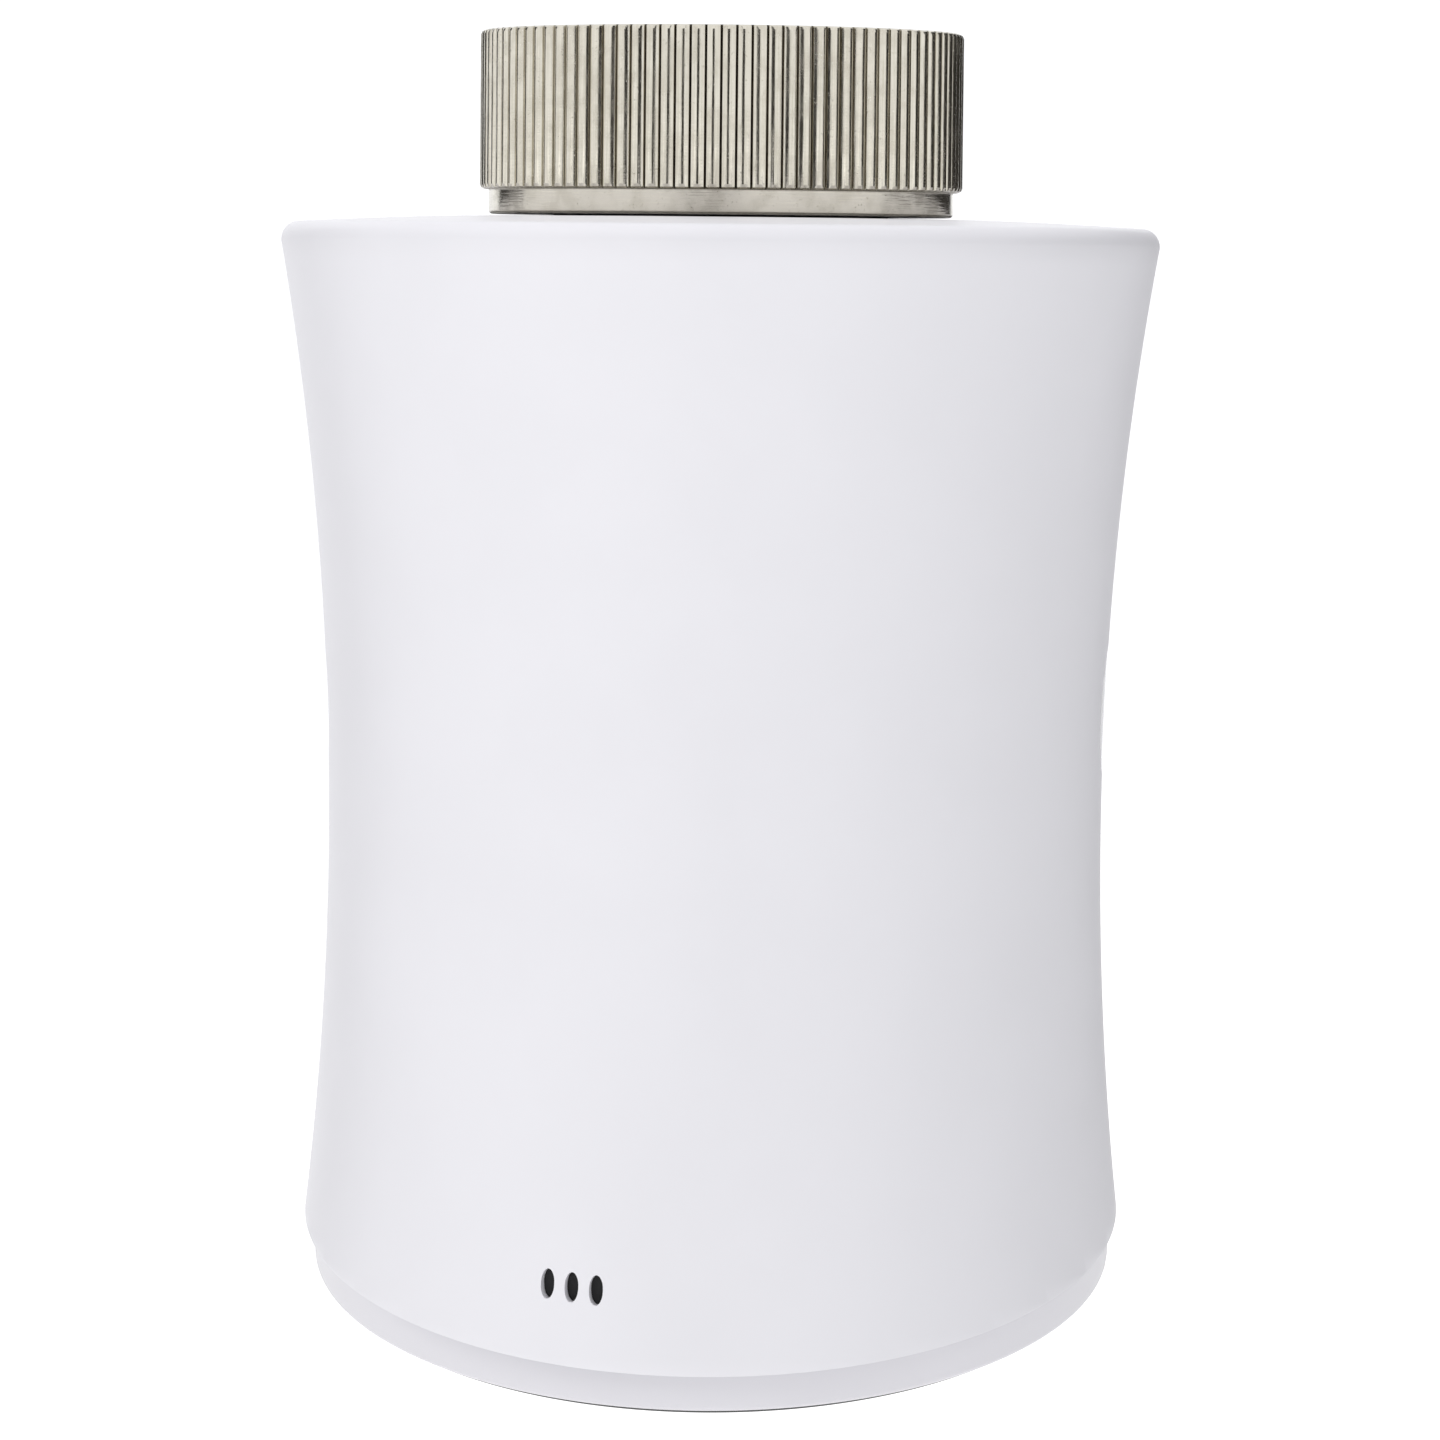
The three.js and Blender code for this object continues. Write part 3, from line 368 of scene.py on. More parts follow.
class Finish:
    def __init__(self, name, **sockets):
        self.material = bpy.data.materials.new(name)
        self.material.use_nodes = True
        self.tree = self.material.node_tree
        self.shader = self.tree.nodes["Principled BSDF"]
        for socket, value in sockets.items():
            self.shader.inputs[socket.replace("_", " ")].default_value = value
        self.place = self.add("ShaderNodeTexCoord", {}, {}, "Object")

    def add(self, kind, settings, inputs, output=0):
        node = self.tree.nodes.new(kind)
        for key, value in settings.items():
            setattr(node, key, value)
        pairs = inputs.items() if isinstance(inputs, dict) else enumerate(inputs)
        for key, value in pairs:
            if isinstance(value, Signal):
                self.tree.links.new(value.socket, node.inputs[key])
            else:
                node.inputs[key].default_value = value
        return Signal(self, node.outputs[output])

    def stretched(self, x, y, z):
        return self.add("ShaderNodeMapping", {}, {"Vector": self.place, "Scale": (x, y, z)})

    def noise(self, size, detail=2.0, place=None):
        inputs = {"Vector": place or self.place, "Scale": 1 / (size * mm), "Detail": detail}
        return self.add("ShaderNodeTexNoise", {}, inputs)

    def spots(self, size, place=None):
        inputs = {"Vector": place or self.place, "Scale": 1 / (size * mm)}
        return self.add("ShaderNodeTexVoronoi", {}, inputs)

    def axis(self, letter):
        return self.add("ShaderNodeSeparateXYZ", {}, [self.place], letter) * (1 / mm)

    def fromAxis(self):
        x, y = self.axis("X"), self.axis("Y")
        return (x * x + y * y) ** 0.5

    def blend(self, share, first, second):
        return self.add("ShaderNodeMix", {"data_type": "RGBA"}, {0: share, 6: first, 7: second}, 2)

    def colour(self, value):
        self.tree.links.new(value.socket, self.shader.inputs["Base Color"])

    def rough(self, value):
        self.tree.links.new(value.socket, self.shader.inputs["Roughness"])

    def relief(self, height, depth, strength=1.0):
        bump = self.add("ShaderNodeBump", {}, {"Strength": strength, "Distance": depth * mm, "Height": height},
                        "Normal")
        self.tree.links.new(bump.socket, self.shader.inputs["Normal"])


def shade(red, green, blue):
    return (red, green, blue, 1.0)


# moulded plastic: fine spark-eroded grain, faint cloudiness of the resin, slightly uneven gloss
def mouldedFinish(name, base, rough, grain=0.0025, cloud=0.03, **sockets):
    made = Finish(name, **sockets)
    cloudy = made.noise(9, 3).between(0.3, 0.7)
    darker = shade(*[value * (1 - cloud) for value in base])
    made.colour(made.blend(cloudy, darker, shade(*base)))
    fine = made.noise(0.09, 2)
    coarse = made.noise(0.4, 2)
    made.rough(made.noise(5, 4) * 0.08 + fine * 0.06 + (rough - 0.07))
    made.relief(fine * 0.7 + coarse * 0.3, grain)
    return made.material


# nickel plate on turned brass: drawn streaks, pits and bright burrs, painted shade darkening the bottoms of the knurl
# grooves
def nickelFinish():
    made = Finish("nickelPlate", Metallic=1.0)
    radius = made.fromAxis()
    height = made.axis("Z")
    knurled = height.between(-3.3, -3.0) * radius.between(16.0, 16.2)
    # painted shade: the bottoms of the knurl grooves are made dark, standing in for the shade down in them
    grooveShade = (1 - radius.between(16.58, 16.8)) * knurled
    streaks = made.noise(0.14, 4, made.stretched(1, 1, 0.03)).between(0.3, 0.7) * knurled
    lines = made.noise(0.14, 3, made.stretched(0.06, 0.06, 1)).between(0.4, 0.65)
    blotch = made.noise(1.6, 5).between(0.4, 0.66)
    speck = made.noise(0.16, 2).between(0.6, 0.72) * made.noise(1.2, 3).between(0.46, 0.6)
    pits = (1 - made.spots(0.24).between(0.05, 0.17)) * made.noise(0.9, 3).between(0.5, 0.66) * knurled
    body = made.blend(streaks * 0.6, shade(0.70, 0.665, 0.575), shade(0.56, 0.525, 0.44))
    body = made.blend(blotch * 0.35, body, shade(0.44, 0.405, 0.33))
    body = made.blend(speck * 0.5, body, shade(0.30, 0.27, 0.21))
    # blends the painted groove shade into the colour
    body = made.blend(grooveShade * 0.8, body, shade(0.13, 0.115, 0.085))
    made.colour(made.blend(pits * 0.6, body, shade(0.90, 0.88, 0.82)))
    made.rough(streaks * 0.08 + blotch * 0.08 + grooveShade * 0.25 + pits * 0.15 + speck * 0.1 + 0.13)
    made.relief(streaks * 0.35 + lines * 0.25 + pits * 0.6 + speck * 0.3, 0.006)
    return made.material


# turned or drawn metal, with fine lines round the axis
def metalFinish(name, light, dark, rough, lineSize=0.08):
    made = Finish(name, Metallic=1.0)
    lines = made.noise(lineSize, 3, made.stretched(0.1, 0.1, 1)).between(0.3, 0.7)
    stain = made.noise(1.6, 4).between(0.35, 0.75)
    body = made.blend(lines * 0.5, shade(*light), shade(*dark))
    made.colour(made.blend(stain * 0.3, body, shade(*dark)))
    made.rough(lines * 0.08 + stain * 0.12 + (rough - 0.08))
    made.relief(lines, 0.0015)
    return made.material


# smoked front glass: near black, with a faint haze of wiped dust
def glassFinish():
    made = Finish("smokedGlass", Roughness=0.06, Coat_Weight=0.6, Coat_Roughness=0.03, IOR=1.5)
    haze = made.noise(6, 4).between(0.4, 0.75)
    dust = (1 - made.spots(0.5).between(0.02, 0.08)) * made.noise(2, 3).between(0.55, 0.7)
    made.colour(made.blend(haze * 0.3 + dust * 0.4, shade(0.004, 0.004, 0.005), shade(0.02, 0.02, 0.022)))
    made.rough(haze * 0.05 + dust * 0.2 + 0.05)
    made.relief(made.noise(14, 1), 0.004)
    return made.material


# circuit board: solder mask over copper tracks, with tinned pads
def boardFinish():
    made = Finish("circuitBoard", Coat_Weight=0.3, Coat_Roughness=0.2)
    wander = made.noise(3.5, 1)
    across = (made.axis("X") + wander * 5) % 0.9
    along = (made.axis("Z") + wander * 6) % 1.1
    tracks = across.between(0.30, 0.34) * (1 - across.between(0.56, 0.60))
    cross = along.between(0.40, 0.44) * (1 - along.between(0.66, 0.70))
    share = made.noise(2.6, 0).between(0.48, 0.52)
    copper = tracks * share + cross * (1 - share)
    vias = 1 - made.spots(1.7).between(0.10, 0.12)
    mask = made.blend(copper, shade(0.012, 0.10, 0.045), shade(0.03, 0.19, 0.075))
    mask = made.blend(made.noise(4, 3) * 0.25, mask, shade(0.006, 0.06, 0.03))
    made.colour(made.blend(vias, mask, shade(0.55, 0.50, 0.36)))
    made.rough(made.noise(0.3, 2) * 0.15 + 0.3)
    made.relief(copper * 0.8 + vias, 0.02)
    return made.material


# moulded epoxy of a chip, with its first-pin dimple left to the geometry
def epoxyFinish(name, base):
    made = Finish(name)
    grain = made.noise(0.05, 2)
    made.colour(made.blend(grain.between(0.35, 0.7), shade(*base), shade(*[value * 2.2 for value in base])))
    made.rough(grain * 0.2 + 0.45)
    made.relief(grain, 0.004)
    return made.material


# printed shrink sleeve of a cell: slight wrinkles, a plain darker band
def jacketFinish():
    made = Finish("cellJacket", Coat_Weight=0.4, Coat_Roughness=0.15, Metallic=0.25)
    wrinkle = made.noise(1.8, 3, made.stretched(1, 1, 0.25))
    band = (made.axis("Z") + made.noise(12, 0) * 0.05) % 17
    stripe = band.between(3.0, 3.2) * (1 - band.between(4.2, 4.4))
    paint = made.blend(stripe, shade(0.035, 0.11, 0.24), shade(0.55, 0.57, 0.60))
    made.colour(made.blend(wrinkle.between(0.3, 0.7) * 0.25, paint, shade(0.02, 0.06, 0.14)))
    made.rough(wrinkle * 0.2 + 0.2)
    made.relief(wrinkle, 0.03)
    return made.material


# wire insulation with faint rubbed patches and a fine grain
def insulationFinish(name, base):
    made = Finish(name)
    rub = made.noise(0.7, 3).between(0.35, 0.7)
    made.colour(made.blend(rub * 0.35, shade(*base), shade(*[value * 0.6 + 0.02 for value in base])))
    made.rough(rub * 0.2 + 0.35)
    made.relief(made.noise(0.15, 2), 0.004)
    return made.material


finishes = {
    "sleeve": mouldedFinish("satinWhite", (0.69, 0.685, 0.72), 0.44, cloud=0.015),
    # the dial ring's white is painted darker than the sleeve's, standing in for the shade under the sleeve's
    # overhanging edge
    "ring": mouldedFinish("ringWhiteShaded", (0.585, 0.578, 0.612), 0.36, grain=0.0015, cloud=0.015),
    "cap": mouldedFinish("capWhite", (0.74, 0.74, 0.76), 0.5, grain=0.004),
    "pad": mouldedFinish("padWhite", (0.76, 0.76, 0.785), 0.24, grain=0.0008, cloud=0.01),
    "grey": mouldedFinish("greyMoulding", (0.30, 0.31, 0.33), 0.52, grain=0.006, cloud=0.12),
    # near-black plugs in the vents: painted shade standing in for the dark inside the vent holes
    "ventShade": mouldedFinish("blackVentShade", (0.006, 0.006, 0.007), 0.8, grain=0.02, cloud=0.3),
    "dark": mouldedFinish("darkMoulding", (0.028, 0.029, 0.032), 0.48, grain=0.006, cloud=0.2),
    "gear": mouldedFinish("acetal", (0.80, 0.76, 0.64), 0.36, grain=0.002, Subsurface_Weight=0.15,
                          Subsurface_Scale=0.001),
    "milk": mouldedFinish("milkyDiffuser", (0.72, 0.75, 0.78), 0.34, grain=0.002, Subsurface_Weight=0.3,
                          Subsurface_Scale=0.002),
    "nickel": nickelFinish(),
    "steel": metalFinish("machinedSteel", (0.62, 0.63, 0.65), (0.42, 0.42, 0.43), 0.3),
    "contact": metalFinish("springContact", (0.72, 0.70, 0.66), (0.52, 0.50, 0.46), 0.22),
    "brass": metalFinish("turnedBrass", (0.80, 0.62, 0.30), (0.55, 0.40, 0.17), 0.26),
    "glass": glassFinish(),
    "board": boardFinish(),
    "chip": epoxyFinish("chipEpoxy", (0.012, 0.012, 0.013)),
    "ceramic": epoxyFinish("ceramicBrown", (0.16, 0.10, 0.055)),
    "jacket": jacketFinish(),
    "red": insulationFinish("redInsulation", (0.42, 0.03, 0.025)),
    "black": insulationFinish("blackInsulation", (0.02, 0.02, 0.02)),
}
print("finishes made")


# screw thread cut on or in a turned wall whose rows stand an eighth of a pitch apart
def cutThread(piece, wall, depth, pitch, low, high, classes=40):
    def wanted(radius, angle, height):
        if abs(radius - wall) > 0.01 or not low < height < high:
            return None
        phase = (height / pitch - angle / (2 * math.pi)) % 1
        phase = round(phase * classes) / classes
        share = (0.78 - abs(phase - 0.5) * 2) / 0.65
        return wall + depth * min(1, max(0, share))
    reshape(piece, wanted)


def threadRows(low, high, pitch):
    rows = round((high - low) / (pitch / 8))
    return [low + (high - low) * row / rows for row in range(rows + 1)]


unionNut = {
    "teeth": 100,
    "land": 17.0,
    "toothDepths": (0, 0, 0.03, 0.07, 0.115, 0.17, 0.43),     # from the middle of a tooth to its groove
    "knurlFoot": -3.1,
    "top": 8.0,
    "chamfer": 0.3,
    "collar": 16.35,
    "foot": -4.86,
    "lip": 12.1,
    "lipTop": -2.8,
    "minor": 14.19,
    "threadDepth": 0.85,
    "pitch": 1.5,
    "bridge": 15.4,
}


def makeUnionNut():
    n = unionNut
    edge = n["chamfer"]
    outside = [(n["bridge"], n["top"] - 0.1), (n["bridge"] + 0.1, n["top"]), (n["land"] - edge, n["top"]), (n["land"] - 0.1, n["top"] - 0.1),
               (n["land"], n["top"] - edge), (n["land"], n["knurlFoot"] + edge),
               (n["land"] - 0.1, n["knurlFoot"] + 0.1), (n["land"] - edge, n["knurlFoot"])]
    outside += [(n["collar"] + 0.12, n["knurlFoot"])]
    outside += arc(n["collar"] + 0.12, n["knurlFoot"] - 0.12, -0.12, 0.12, 90, 0, 3)[1:]
    outside += [(n["collar"], n["foot"] + 0.25)]
    outside += arc(n["collar"] - 0.25, n["foot"] + 0.25, 0.25, 0.25, 0, -90, 4)[1:]
    outside += [(n["lip"] + 0.2, n["foot"]), (n["lip"], n["foot"] + 0.2), (n["lip"], n["lipTop"] - 0.2),
                (n["lip"] + 0.2, n["lipTop"]), (n["bridge"], n["lipTop"])]
    steps = 12
    shell = turnedPiece("unionNut", outside, n["teeth"] * steps)
    depths = n["toothDepths"]
    pitch = 2 * math.pi / n["teeth"]

    def knurl(radius, angle, height):
        if radius < n["land"] - edge - 0.01 or height < n["knurlFoot"] - 0.01:
            return None
        step = round(angle / pitch * steps) % steps
        return min(radius, n["land"] - depths[min(step, steps - step)])
    reshape(shell, knurl)
    relief = n["lipTop"] + 0.9
    mouth = n["top"] - 0.8
    inside = [(n["bridge"] + 0.06, relief)]
    inside += [(n["minor"], height) for height in threadRows(relief + 0.5, mouth, n["pitch"])]
    inside += [(n["bridge"] - 0.05, n["top"] - 0.12), (n["bridge"] + 0.06, n["top"] - 0.12)]
    thread = turnedPiece("nutThread", inside, 160)
    cutThread(thread, n["minor"], n["threadDepth"], n["pitch"], relief + 0.6, mouth - 0.1)
    nut = joinUp([shell, thread])
    return finishPiece(nut, "union_nut", finishes["nickel"], ["union_nut"], 24)


makeUnionNut()
print("union nut done")


sleeve = {
    "rim": -6.8,
    "waist": -48.1,
    "waistRadius": 27.35,
    "flankRadius": 240.0,
    "wall": 2.0,
    "rimRound": 1.2,
    "crown": -5.0,
    "crownEdge": -5.5,
    "recess": -5.3,
    "recessRadius": 16.75,
    "hole": 12.1,
    "topUnder": -7.2,
    "edge": -74.4,           # lower edge, on the axis
    "edgeRound": 0.22,
    "padHole": 4.7,
    "padHeight": -39.3,
}
vents = {
    "width": 0.98,
    "height": 2.02,
    "pitch": 1.69,
    "count": 3,
    "aboveEdge": 5.0,
    "azimuth": -16.7,
    "shadePlugDepth": 0.5,       # of the near-black plugs behind the outer face, painted shade inside the vents
}
slope = math.tan(math.radians(tiltDegrees))


def flankAt(height):
    s = sleeve
    return s["waistRadius"] + s["flankRadius"] - math.sqrt(s["flankRadius"] ** 2 - (height - s["waist"]) ** 2)


def flankRows(start, end, rows, inset=0.0):
    heights = [start + (end - start) * row / rows for row in range(rows + 1)]
    return [(flankAt(height) - inset, height) for height in heights]


# an upright oval bar through the wall, from start to end out from the axis
def ovalBar(name, width, height, start, end, azimuth, level):
    letGo()
    bpy.ops.mesh.primitive_circle_add(vertices=32, radius=width / 2 * mm, fill_type="NGON")
    bar = bpy.context.active_object
    bar.name = name
    openUp(bar)
    for side in (-1, 1):
        pickPoints(lambda point: point.co.y * side > 1e-7)
        bpy.ops.transform.resize(value=(1, height / width * 0.95, 1), center_override=(0, 0, 0))
        bpy.ops.transform.translate(value=(0, side * height * 0.025 * mm, 0))
    bpy.ops.mesh.select_all(action="SELECT")
    bpy.ops.mesh.extrude_region_move(TRANSFORM_OT_translate={"value": (0, 0, (end - start) * mm)})
    bpy.ops.mesh.select_all(action="SELECT")
    bpy.ops.mesh.normals_make_consistent(inside=False)
    closeUp()
    place = (start * math.sin(azimuth), -start * math.cos(azimuth), level)
    return setDown(bar, place, (90, 0, math.degrees(azimuth)))


def ventPlaces():
    places = []
    for index in range(vents["count"]):
        spread = (index - (vents["count"] - 1) / 2) * vents["pitch"] / (sleeve["waistRadius"] + 1)
        azimuth = math.radians(vents["azimuth"]) + spread
        radius = flankAt(sleeve["edge"])
        height = sleeve["edge"] - radius * math.cos(azimuth) * slope + vents["aboveEdge"]
        places.append((azimuth, radius, height))
    return places


def padTool(radius, innerX, outerX, segments=96):
    tool = turnedPiece("padTool", [(radius, innerX), (radius, outerX)], segments, ends="flat")
    return setDown(tool, (0, 0, sleeve["padHeight"]), (0, 90, 0))


def makeSleeve():
    s = sleeve
    rimRadius = flankAt(s["rim"])
    lowest = s["edge"] - 12
    profile = [(s["hole"], s["topUnder"]), (s["hole"], s["recess"]), (s["recessRadius"], s["recess"]),
               (s["recessRadius"], s["crown"])]
    innerEdge = rimRadius - s["rimRound"]
    for row in range(1, 6):
        share = row / 6
        profile.append((s["recessRadius"] + (innerEdge - s["recessRadius"]) * share,
                        s["crown"] + (s["crownEdge"] - s["crown"]) * share ** 1.5))
    profile += arc(innerEdge, s["rim"], s["rimRound"], s["crownEdge"] - s["rim"], 90, 0, 8)
    profile += flankRows(s["rim"], lowest, 64)[1:]
    profile += flankRows(lowest, s["topUnder"], 40, s["wall"])
    piece = turnedPiece("outerSleeve", profile, 256)
    openUp(piece)
    bpy.ops.mesh.select_all(action="SELECT")
    normal = (0, -math.sin(math.radians(tiltDegrees)), math.cos(math.radians(tiltDegrees)))
    bpy.ops.mesh.bisect(plane_co=(0, 0, s["edge"] * mm), plane_no=normal, clear_inner=True, threshold=1e-7)
    pickPoints(lambda point: point.is_boundary)
    bpy.ops.mesh.bridge_edge_loops()
    bpy.ops.mesh.select_all(action="SELECT")
    bpy.ops.mesh.normals_make_consistent(inside=False)
    closeUp()
    softenEdges(piece, s["edgeRound"], 3, 50)
    for azimuth, radius, height in ventPlaces():
        combine(piece, ovalBar("vent", vents["width"], vents["height"], radius - 4, radius + 4, azimuth, height))
    for side in (-1, 1):
        ends = sorted((side * (s["waistRadius"] - 6), side * (s["waistRadius"] + 6)))
        combine(piece, padTool(s["padHole"], *ends))
    for turn in (90, 210, 330):
        combine(piece, countersink(turn))
    return finishPiece(piece, "body", finishes["sleeve"], ["outer_sleeve"], 35)


neckScrews = {"circle": 14.4, "head": 1.6, "shank": 0.9, "top": -5.45, "headHeight": 1.2, "bottom": -9.6}


def onCircle(circle, degrees):
    return circle * math.cos(math.radians(degrees)), circle * math.sin(math.radians(degrees))


def countersink(degrees):
    n = neckScrews
    profile = [(n["head"] + 0.3, n["top"] + 1), (n["head"] + 0.3, n["top"]),
               (n["shank"] + 0.3, n["top"] - n["headHeight"]), (n["shank"] + 0.3, n["bottom"])]
    tool = turnedPiece("countersinkTool", profile, 40, ends="flat")
    x, y = onCircle(n["circle"], degrees)
    return setDown(tool, (x, y, 0))


# a screw with a cross recess; the profile runs from the head's face down the shank
def screwPiece(name, profile, headFace, down):
    piece = turnedPiece(name, profile, 40, ends="flat")
    softenEdges(piece, 0.08, 2, 40)
    for turn in (0, 90):
        arm = blockPiece("recessArm", (-0.95, -0.17, headFace - 0.55), (0.95, 0.17, headFace + 0.55))
        openUp(arm)
        pickPoints(lambda point: (point.co.z / mm - headFace) * down > 0)
        bpy.ops.transform.resize(value=(0.55, 0.8, 1), center_override=(0, 0, 0))
        closeUp()
        combine(piece, setDown(arm, (0, 0, 0), (0, 0, turn)))
    return piece


def threadedShank(radius, start, end, pitch=0.6):
    step = pitch / 2 if end > start else -pitch / 2
    rows = int(abs(end - start) / (pitch / 2))
    return [(radius if row % 2 else radius - 0.14, start + step * row) for row in range(rows)] + [(radius * 0.5, end)]


def placeScrews(name, model, places, body, nodes):
    for index, (x, y) in enumerate(places):
        copy = twinOf(model, name + str(index + 1))
        setDown(copy, (x, y, 0), (0, 0, 25 + 40 * index))
        finishPiece(copy, body, finishes["steel"], [nodes[index]], 40)
    bpy.data.objects.remove(model)


def makeScrews():
    n = neckScrews
    profile = [(n["head"], n["top"]), (n["head"], n["top"] - 0.15), (n["shank"], n["top"] - n["headHeight"])]
    profile += threadedShank(n["shank"], n["top"] - n["headHeight"] - 0.3, n["bottom"])
    model = screwPiece("screwModel", profile, n["top"], -1)
    places = [onCircle(n["circle"], turn) for turn in (90, 210, 330)]
    placeScrews("neckScrew", model, places, "body", [f"neck_screw_{i}" for i in (1, 2, 3)])
    low, high = boxOf("gearbox_screw_1")
    profile = [(1.6, low[2]), (1.9, low[2] + 0.25), (1.9, low[2] + 1.2), (0.9, low[2] + 1.2),
               (0.9, high[2] - 7)] + threadedShank(0.9, high[2] - 6.8, high[2])
    model = screwPiece("screwModel", profile, low[2], 1)
    nodes = [f"gearbox_screw_{i}" for i in (1, 2, 3)]
    placeScrews("gearboxScrew", model, [middleOf(node)[:2] for node in nodes], "body", nodes)
    low, high = boxOf("tray_screw_1")
    profile = [(1.6, high[2]), (1.9, high[2] - 0.25), (1.9, high[2] - 1.2), (0.9, high[2] - 1.2)]
    profile += threadedShank(0.9, high[2] - 1.5, low[2])
    model = screwPiece("screwModel", profile, high[2], -1)
    nodes = ["tray_screw_1", "tray_screw_2"]
    placeScrews("trayScrew", model, [middleOf(node)[:2] for node in nodes], "front_module", nodes)


makeSleeve()
print("sleeve done")
makeScrews()
print("screws done")


# slanted end: built upright, heights outwards from the sleeve's edge are negative, then tilted
def tilted(piece):
    return setDown(piece, (0, 0, sleeve["edge"]), (tiltDegrees, 0, 0))


ring = {
    "radius": 28.25,
    "wall": 0.65,
    "top": -0.3,
    "bottom": -3.85,
    "round": 0.4,
    "lip": 25.9,
    "lipTop": -1.6,
    "lipBottom": -3.1,
}
lens = {"radius": 27.35, "bottom": -4.35, "top": -3.4, "round": 0.22}


def makeRing():
    r = ring
    inner = r["radius"] - r["wall"]
    profile = [(inner, r["top"]), (r["radius"] - 0.1, r["top"]), (r["radius"], r["top"] - 0.1)]
    profile += arc(r["radius"] - r["round"], r["bottom"] + r["round"], r["round"], r["round"], 0, -90, 6)
    profile += [(inner + 0.08, r["bottom"]), (inner, r["bottom"] + 0.08), (inner, r["lipBottom"]),
                (r["lip"] + 0.1, r["lipBottom"]), (r["lip"], r["lipBottom"] + 0.1),
                (r["lip"], r["lipTop"] - 0.1), (r["lip"] + 0.1, r["lipTop"]), (inner, r["lipTop"])]
    piece = turnedPiece("dialRing", profile, 256)
    finishPiece(tilted(piece), "dial_ring", finishes["ring"], ["dial_ring"], 30)


def makeLens():
    d = lens
    profile = [(d["radius"] - d["round"], d["top"]), (d["radius"], d["top"] - 0.1)]
    profile += arc(d["radius"] - d["round"], d["bottom"] + d["round"], d["round"], d["round"], 0, -90, 5)
    piece = turnedPiece("displayLens", profile, 256, ends="flat")
    finishPiece(tilted(piece), "front_module", finishes["glass"], ["display_lens"], 30)


padStroke = 1.2


def makePads():
    low, high = boxOf("release_button_right")
    for side, name, turn in ((1, "right", 0), (-1, "left", 180)):
        profile = [(1.2, low[0]), (1.4, low[0] + 0.2)]
        shoulder = math.sqrt((flankAt(sleeve["padHeight"]) - 2.3) ** 2 - 5.6 ** 2)
        profile += [(1.4, shoulder - 1), (5.4, shoulder - 1), (5.6, shoulder - 0.8), (5.6, shoulder - 0.2),
                    (5.4, shoulder), (4.5, shoulder), (4.5, sleeve["waistRadius"] + 3)]
        piece = turnedPiece("pad" + name.title(), profile, 96, ends="flat")
        setDown(piece, (0, 0, sleeve["padHeight"]), (0, 90, 0))
        face = turnedPiece("faceTool", flankRows(-20, -60, 40, 0.05), 256, ends="flat")
        combine(piece, face, way="INTERSECT")
        softenEdges(piece, 0.12, 3, 50)
        setDown(piece, (0, 0, 0), (0, 0, turn))
        finishPiece(piece, "release_button_" + name, finishes["pad"], ["release_button_" + name], 30)
        low2, high2 = boxOf("button_spring_" + name)
        spring = coilPiece("padSpring" + name.title(), 2.5, 0.25, 0, high2[0] - low2[0], 5)
        setDown(spring, (min(abs(low2[0]), abs(high2[0])), 0, sleeve["padHeight"]), (0, 90, 0))
        setDown(spring, (0, 0, 0), (0, 0, turn))
        finishPiece(spring, "body", finishes["contact"], ["button_spring_" + name], 60)
        inner = min(abs(low2[0]), abs(high2[0]))
        side * inner * mm
        1 - padStroke / (high2[0] - low2[0])
        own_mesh(spring)


makeRing()
makeLens()
makePads()
print("ring, lens and pads done")


neck = {
    "bore": 7.6,
    "radius": 11.8,
    "grooveTop": -1.2,
    "grooveBottom": -2.6,
    "grooveDepth": 0.6,
    "shoulder": 13.2,
    "shoulderTop": -10.2,
    "shoulderBottom": -11.5,
    "guide": 8.7,
    "guideBottom": -25.7,
}
pusher = {"pad": 7.3, "padTop": -16.3, "padFoot": -20.3, "rod": 3.0, "rodFoot": -42.0, "pitch": 1.0}


def makeNeck():
    n = neck
    inner = n["radius"] - n["grooveDepth"]
    profile = [(n["bore"] + 0.5, 0), (n["radius"] - 0.3, 0), (n["radius"], -0.3), (n["radius"], n["grooveTop"]),
               (inner, n["grooveTop"]), (inner, n["grooveBottom"]), (n["radius"], n["grooveBottom"]),
               (n["radius"], n["shoulderTop"]), (n["shoulder"] - 0.2, n["shoulderTop"]),
               (n["shoulder"], n["shoulderTop"] - 0.2), (n["shoulder"], n["shoulderBottom"]),
               (n["guide"] + 0.3, n["shoulderBottom"]), (n["guide"], n["shoulderBottom"] - 0.3),
               (n["guide"], n["guideBottom"] + 0.2), (n["guide"] - 0.2, n["guideBottom"]),
               (n["bore"] + 0.2, n["guideBottom"]), (n["bore"], n["guideBottom"] + 0.2), (n["bore"], -0.5)]
    piece = turnedPiece("valveNeck", profile, 128)
    for side in (-1, 1):
        ends = sorted((side * (n["bore"] - 1.3), side * (n["bore"] + 0.6)))
        rib = blockPiece("rib", (ends[0], -0.8, n["guideBottom"]), (ends[1], 0.8, n["shoulderTop"]))
        combine(piece, rib, way="UNION")
    finishPiece(piece, "body", finishes["dark"], ["valve_neck"], 35)


def makeSnapRing():
    low, high = boxOf("nut_snap_ring")
    outer = high[0] if high[0] > -low[0] else -low[0]
    inner = neck["radius"] - neck["grooveDepth"] + 0.15
    profile = [(inner, low[2]), (outer, low[2]), (outer, high[2]), (inner, high[2])]
    piece = turnedPiece("snapRing", profile, 160)
    combine(piece, blockPiece("gapTool", (5, -3.1, low[2] - 1), (20, 3.1, high[2] + 1)))
    softenEdges(piece, 0.12, 2, 50)
    finishPiece(piece, "body", finishes["steel"], ["nut_snap_ring"], 35)


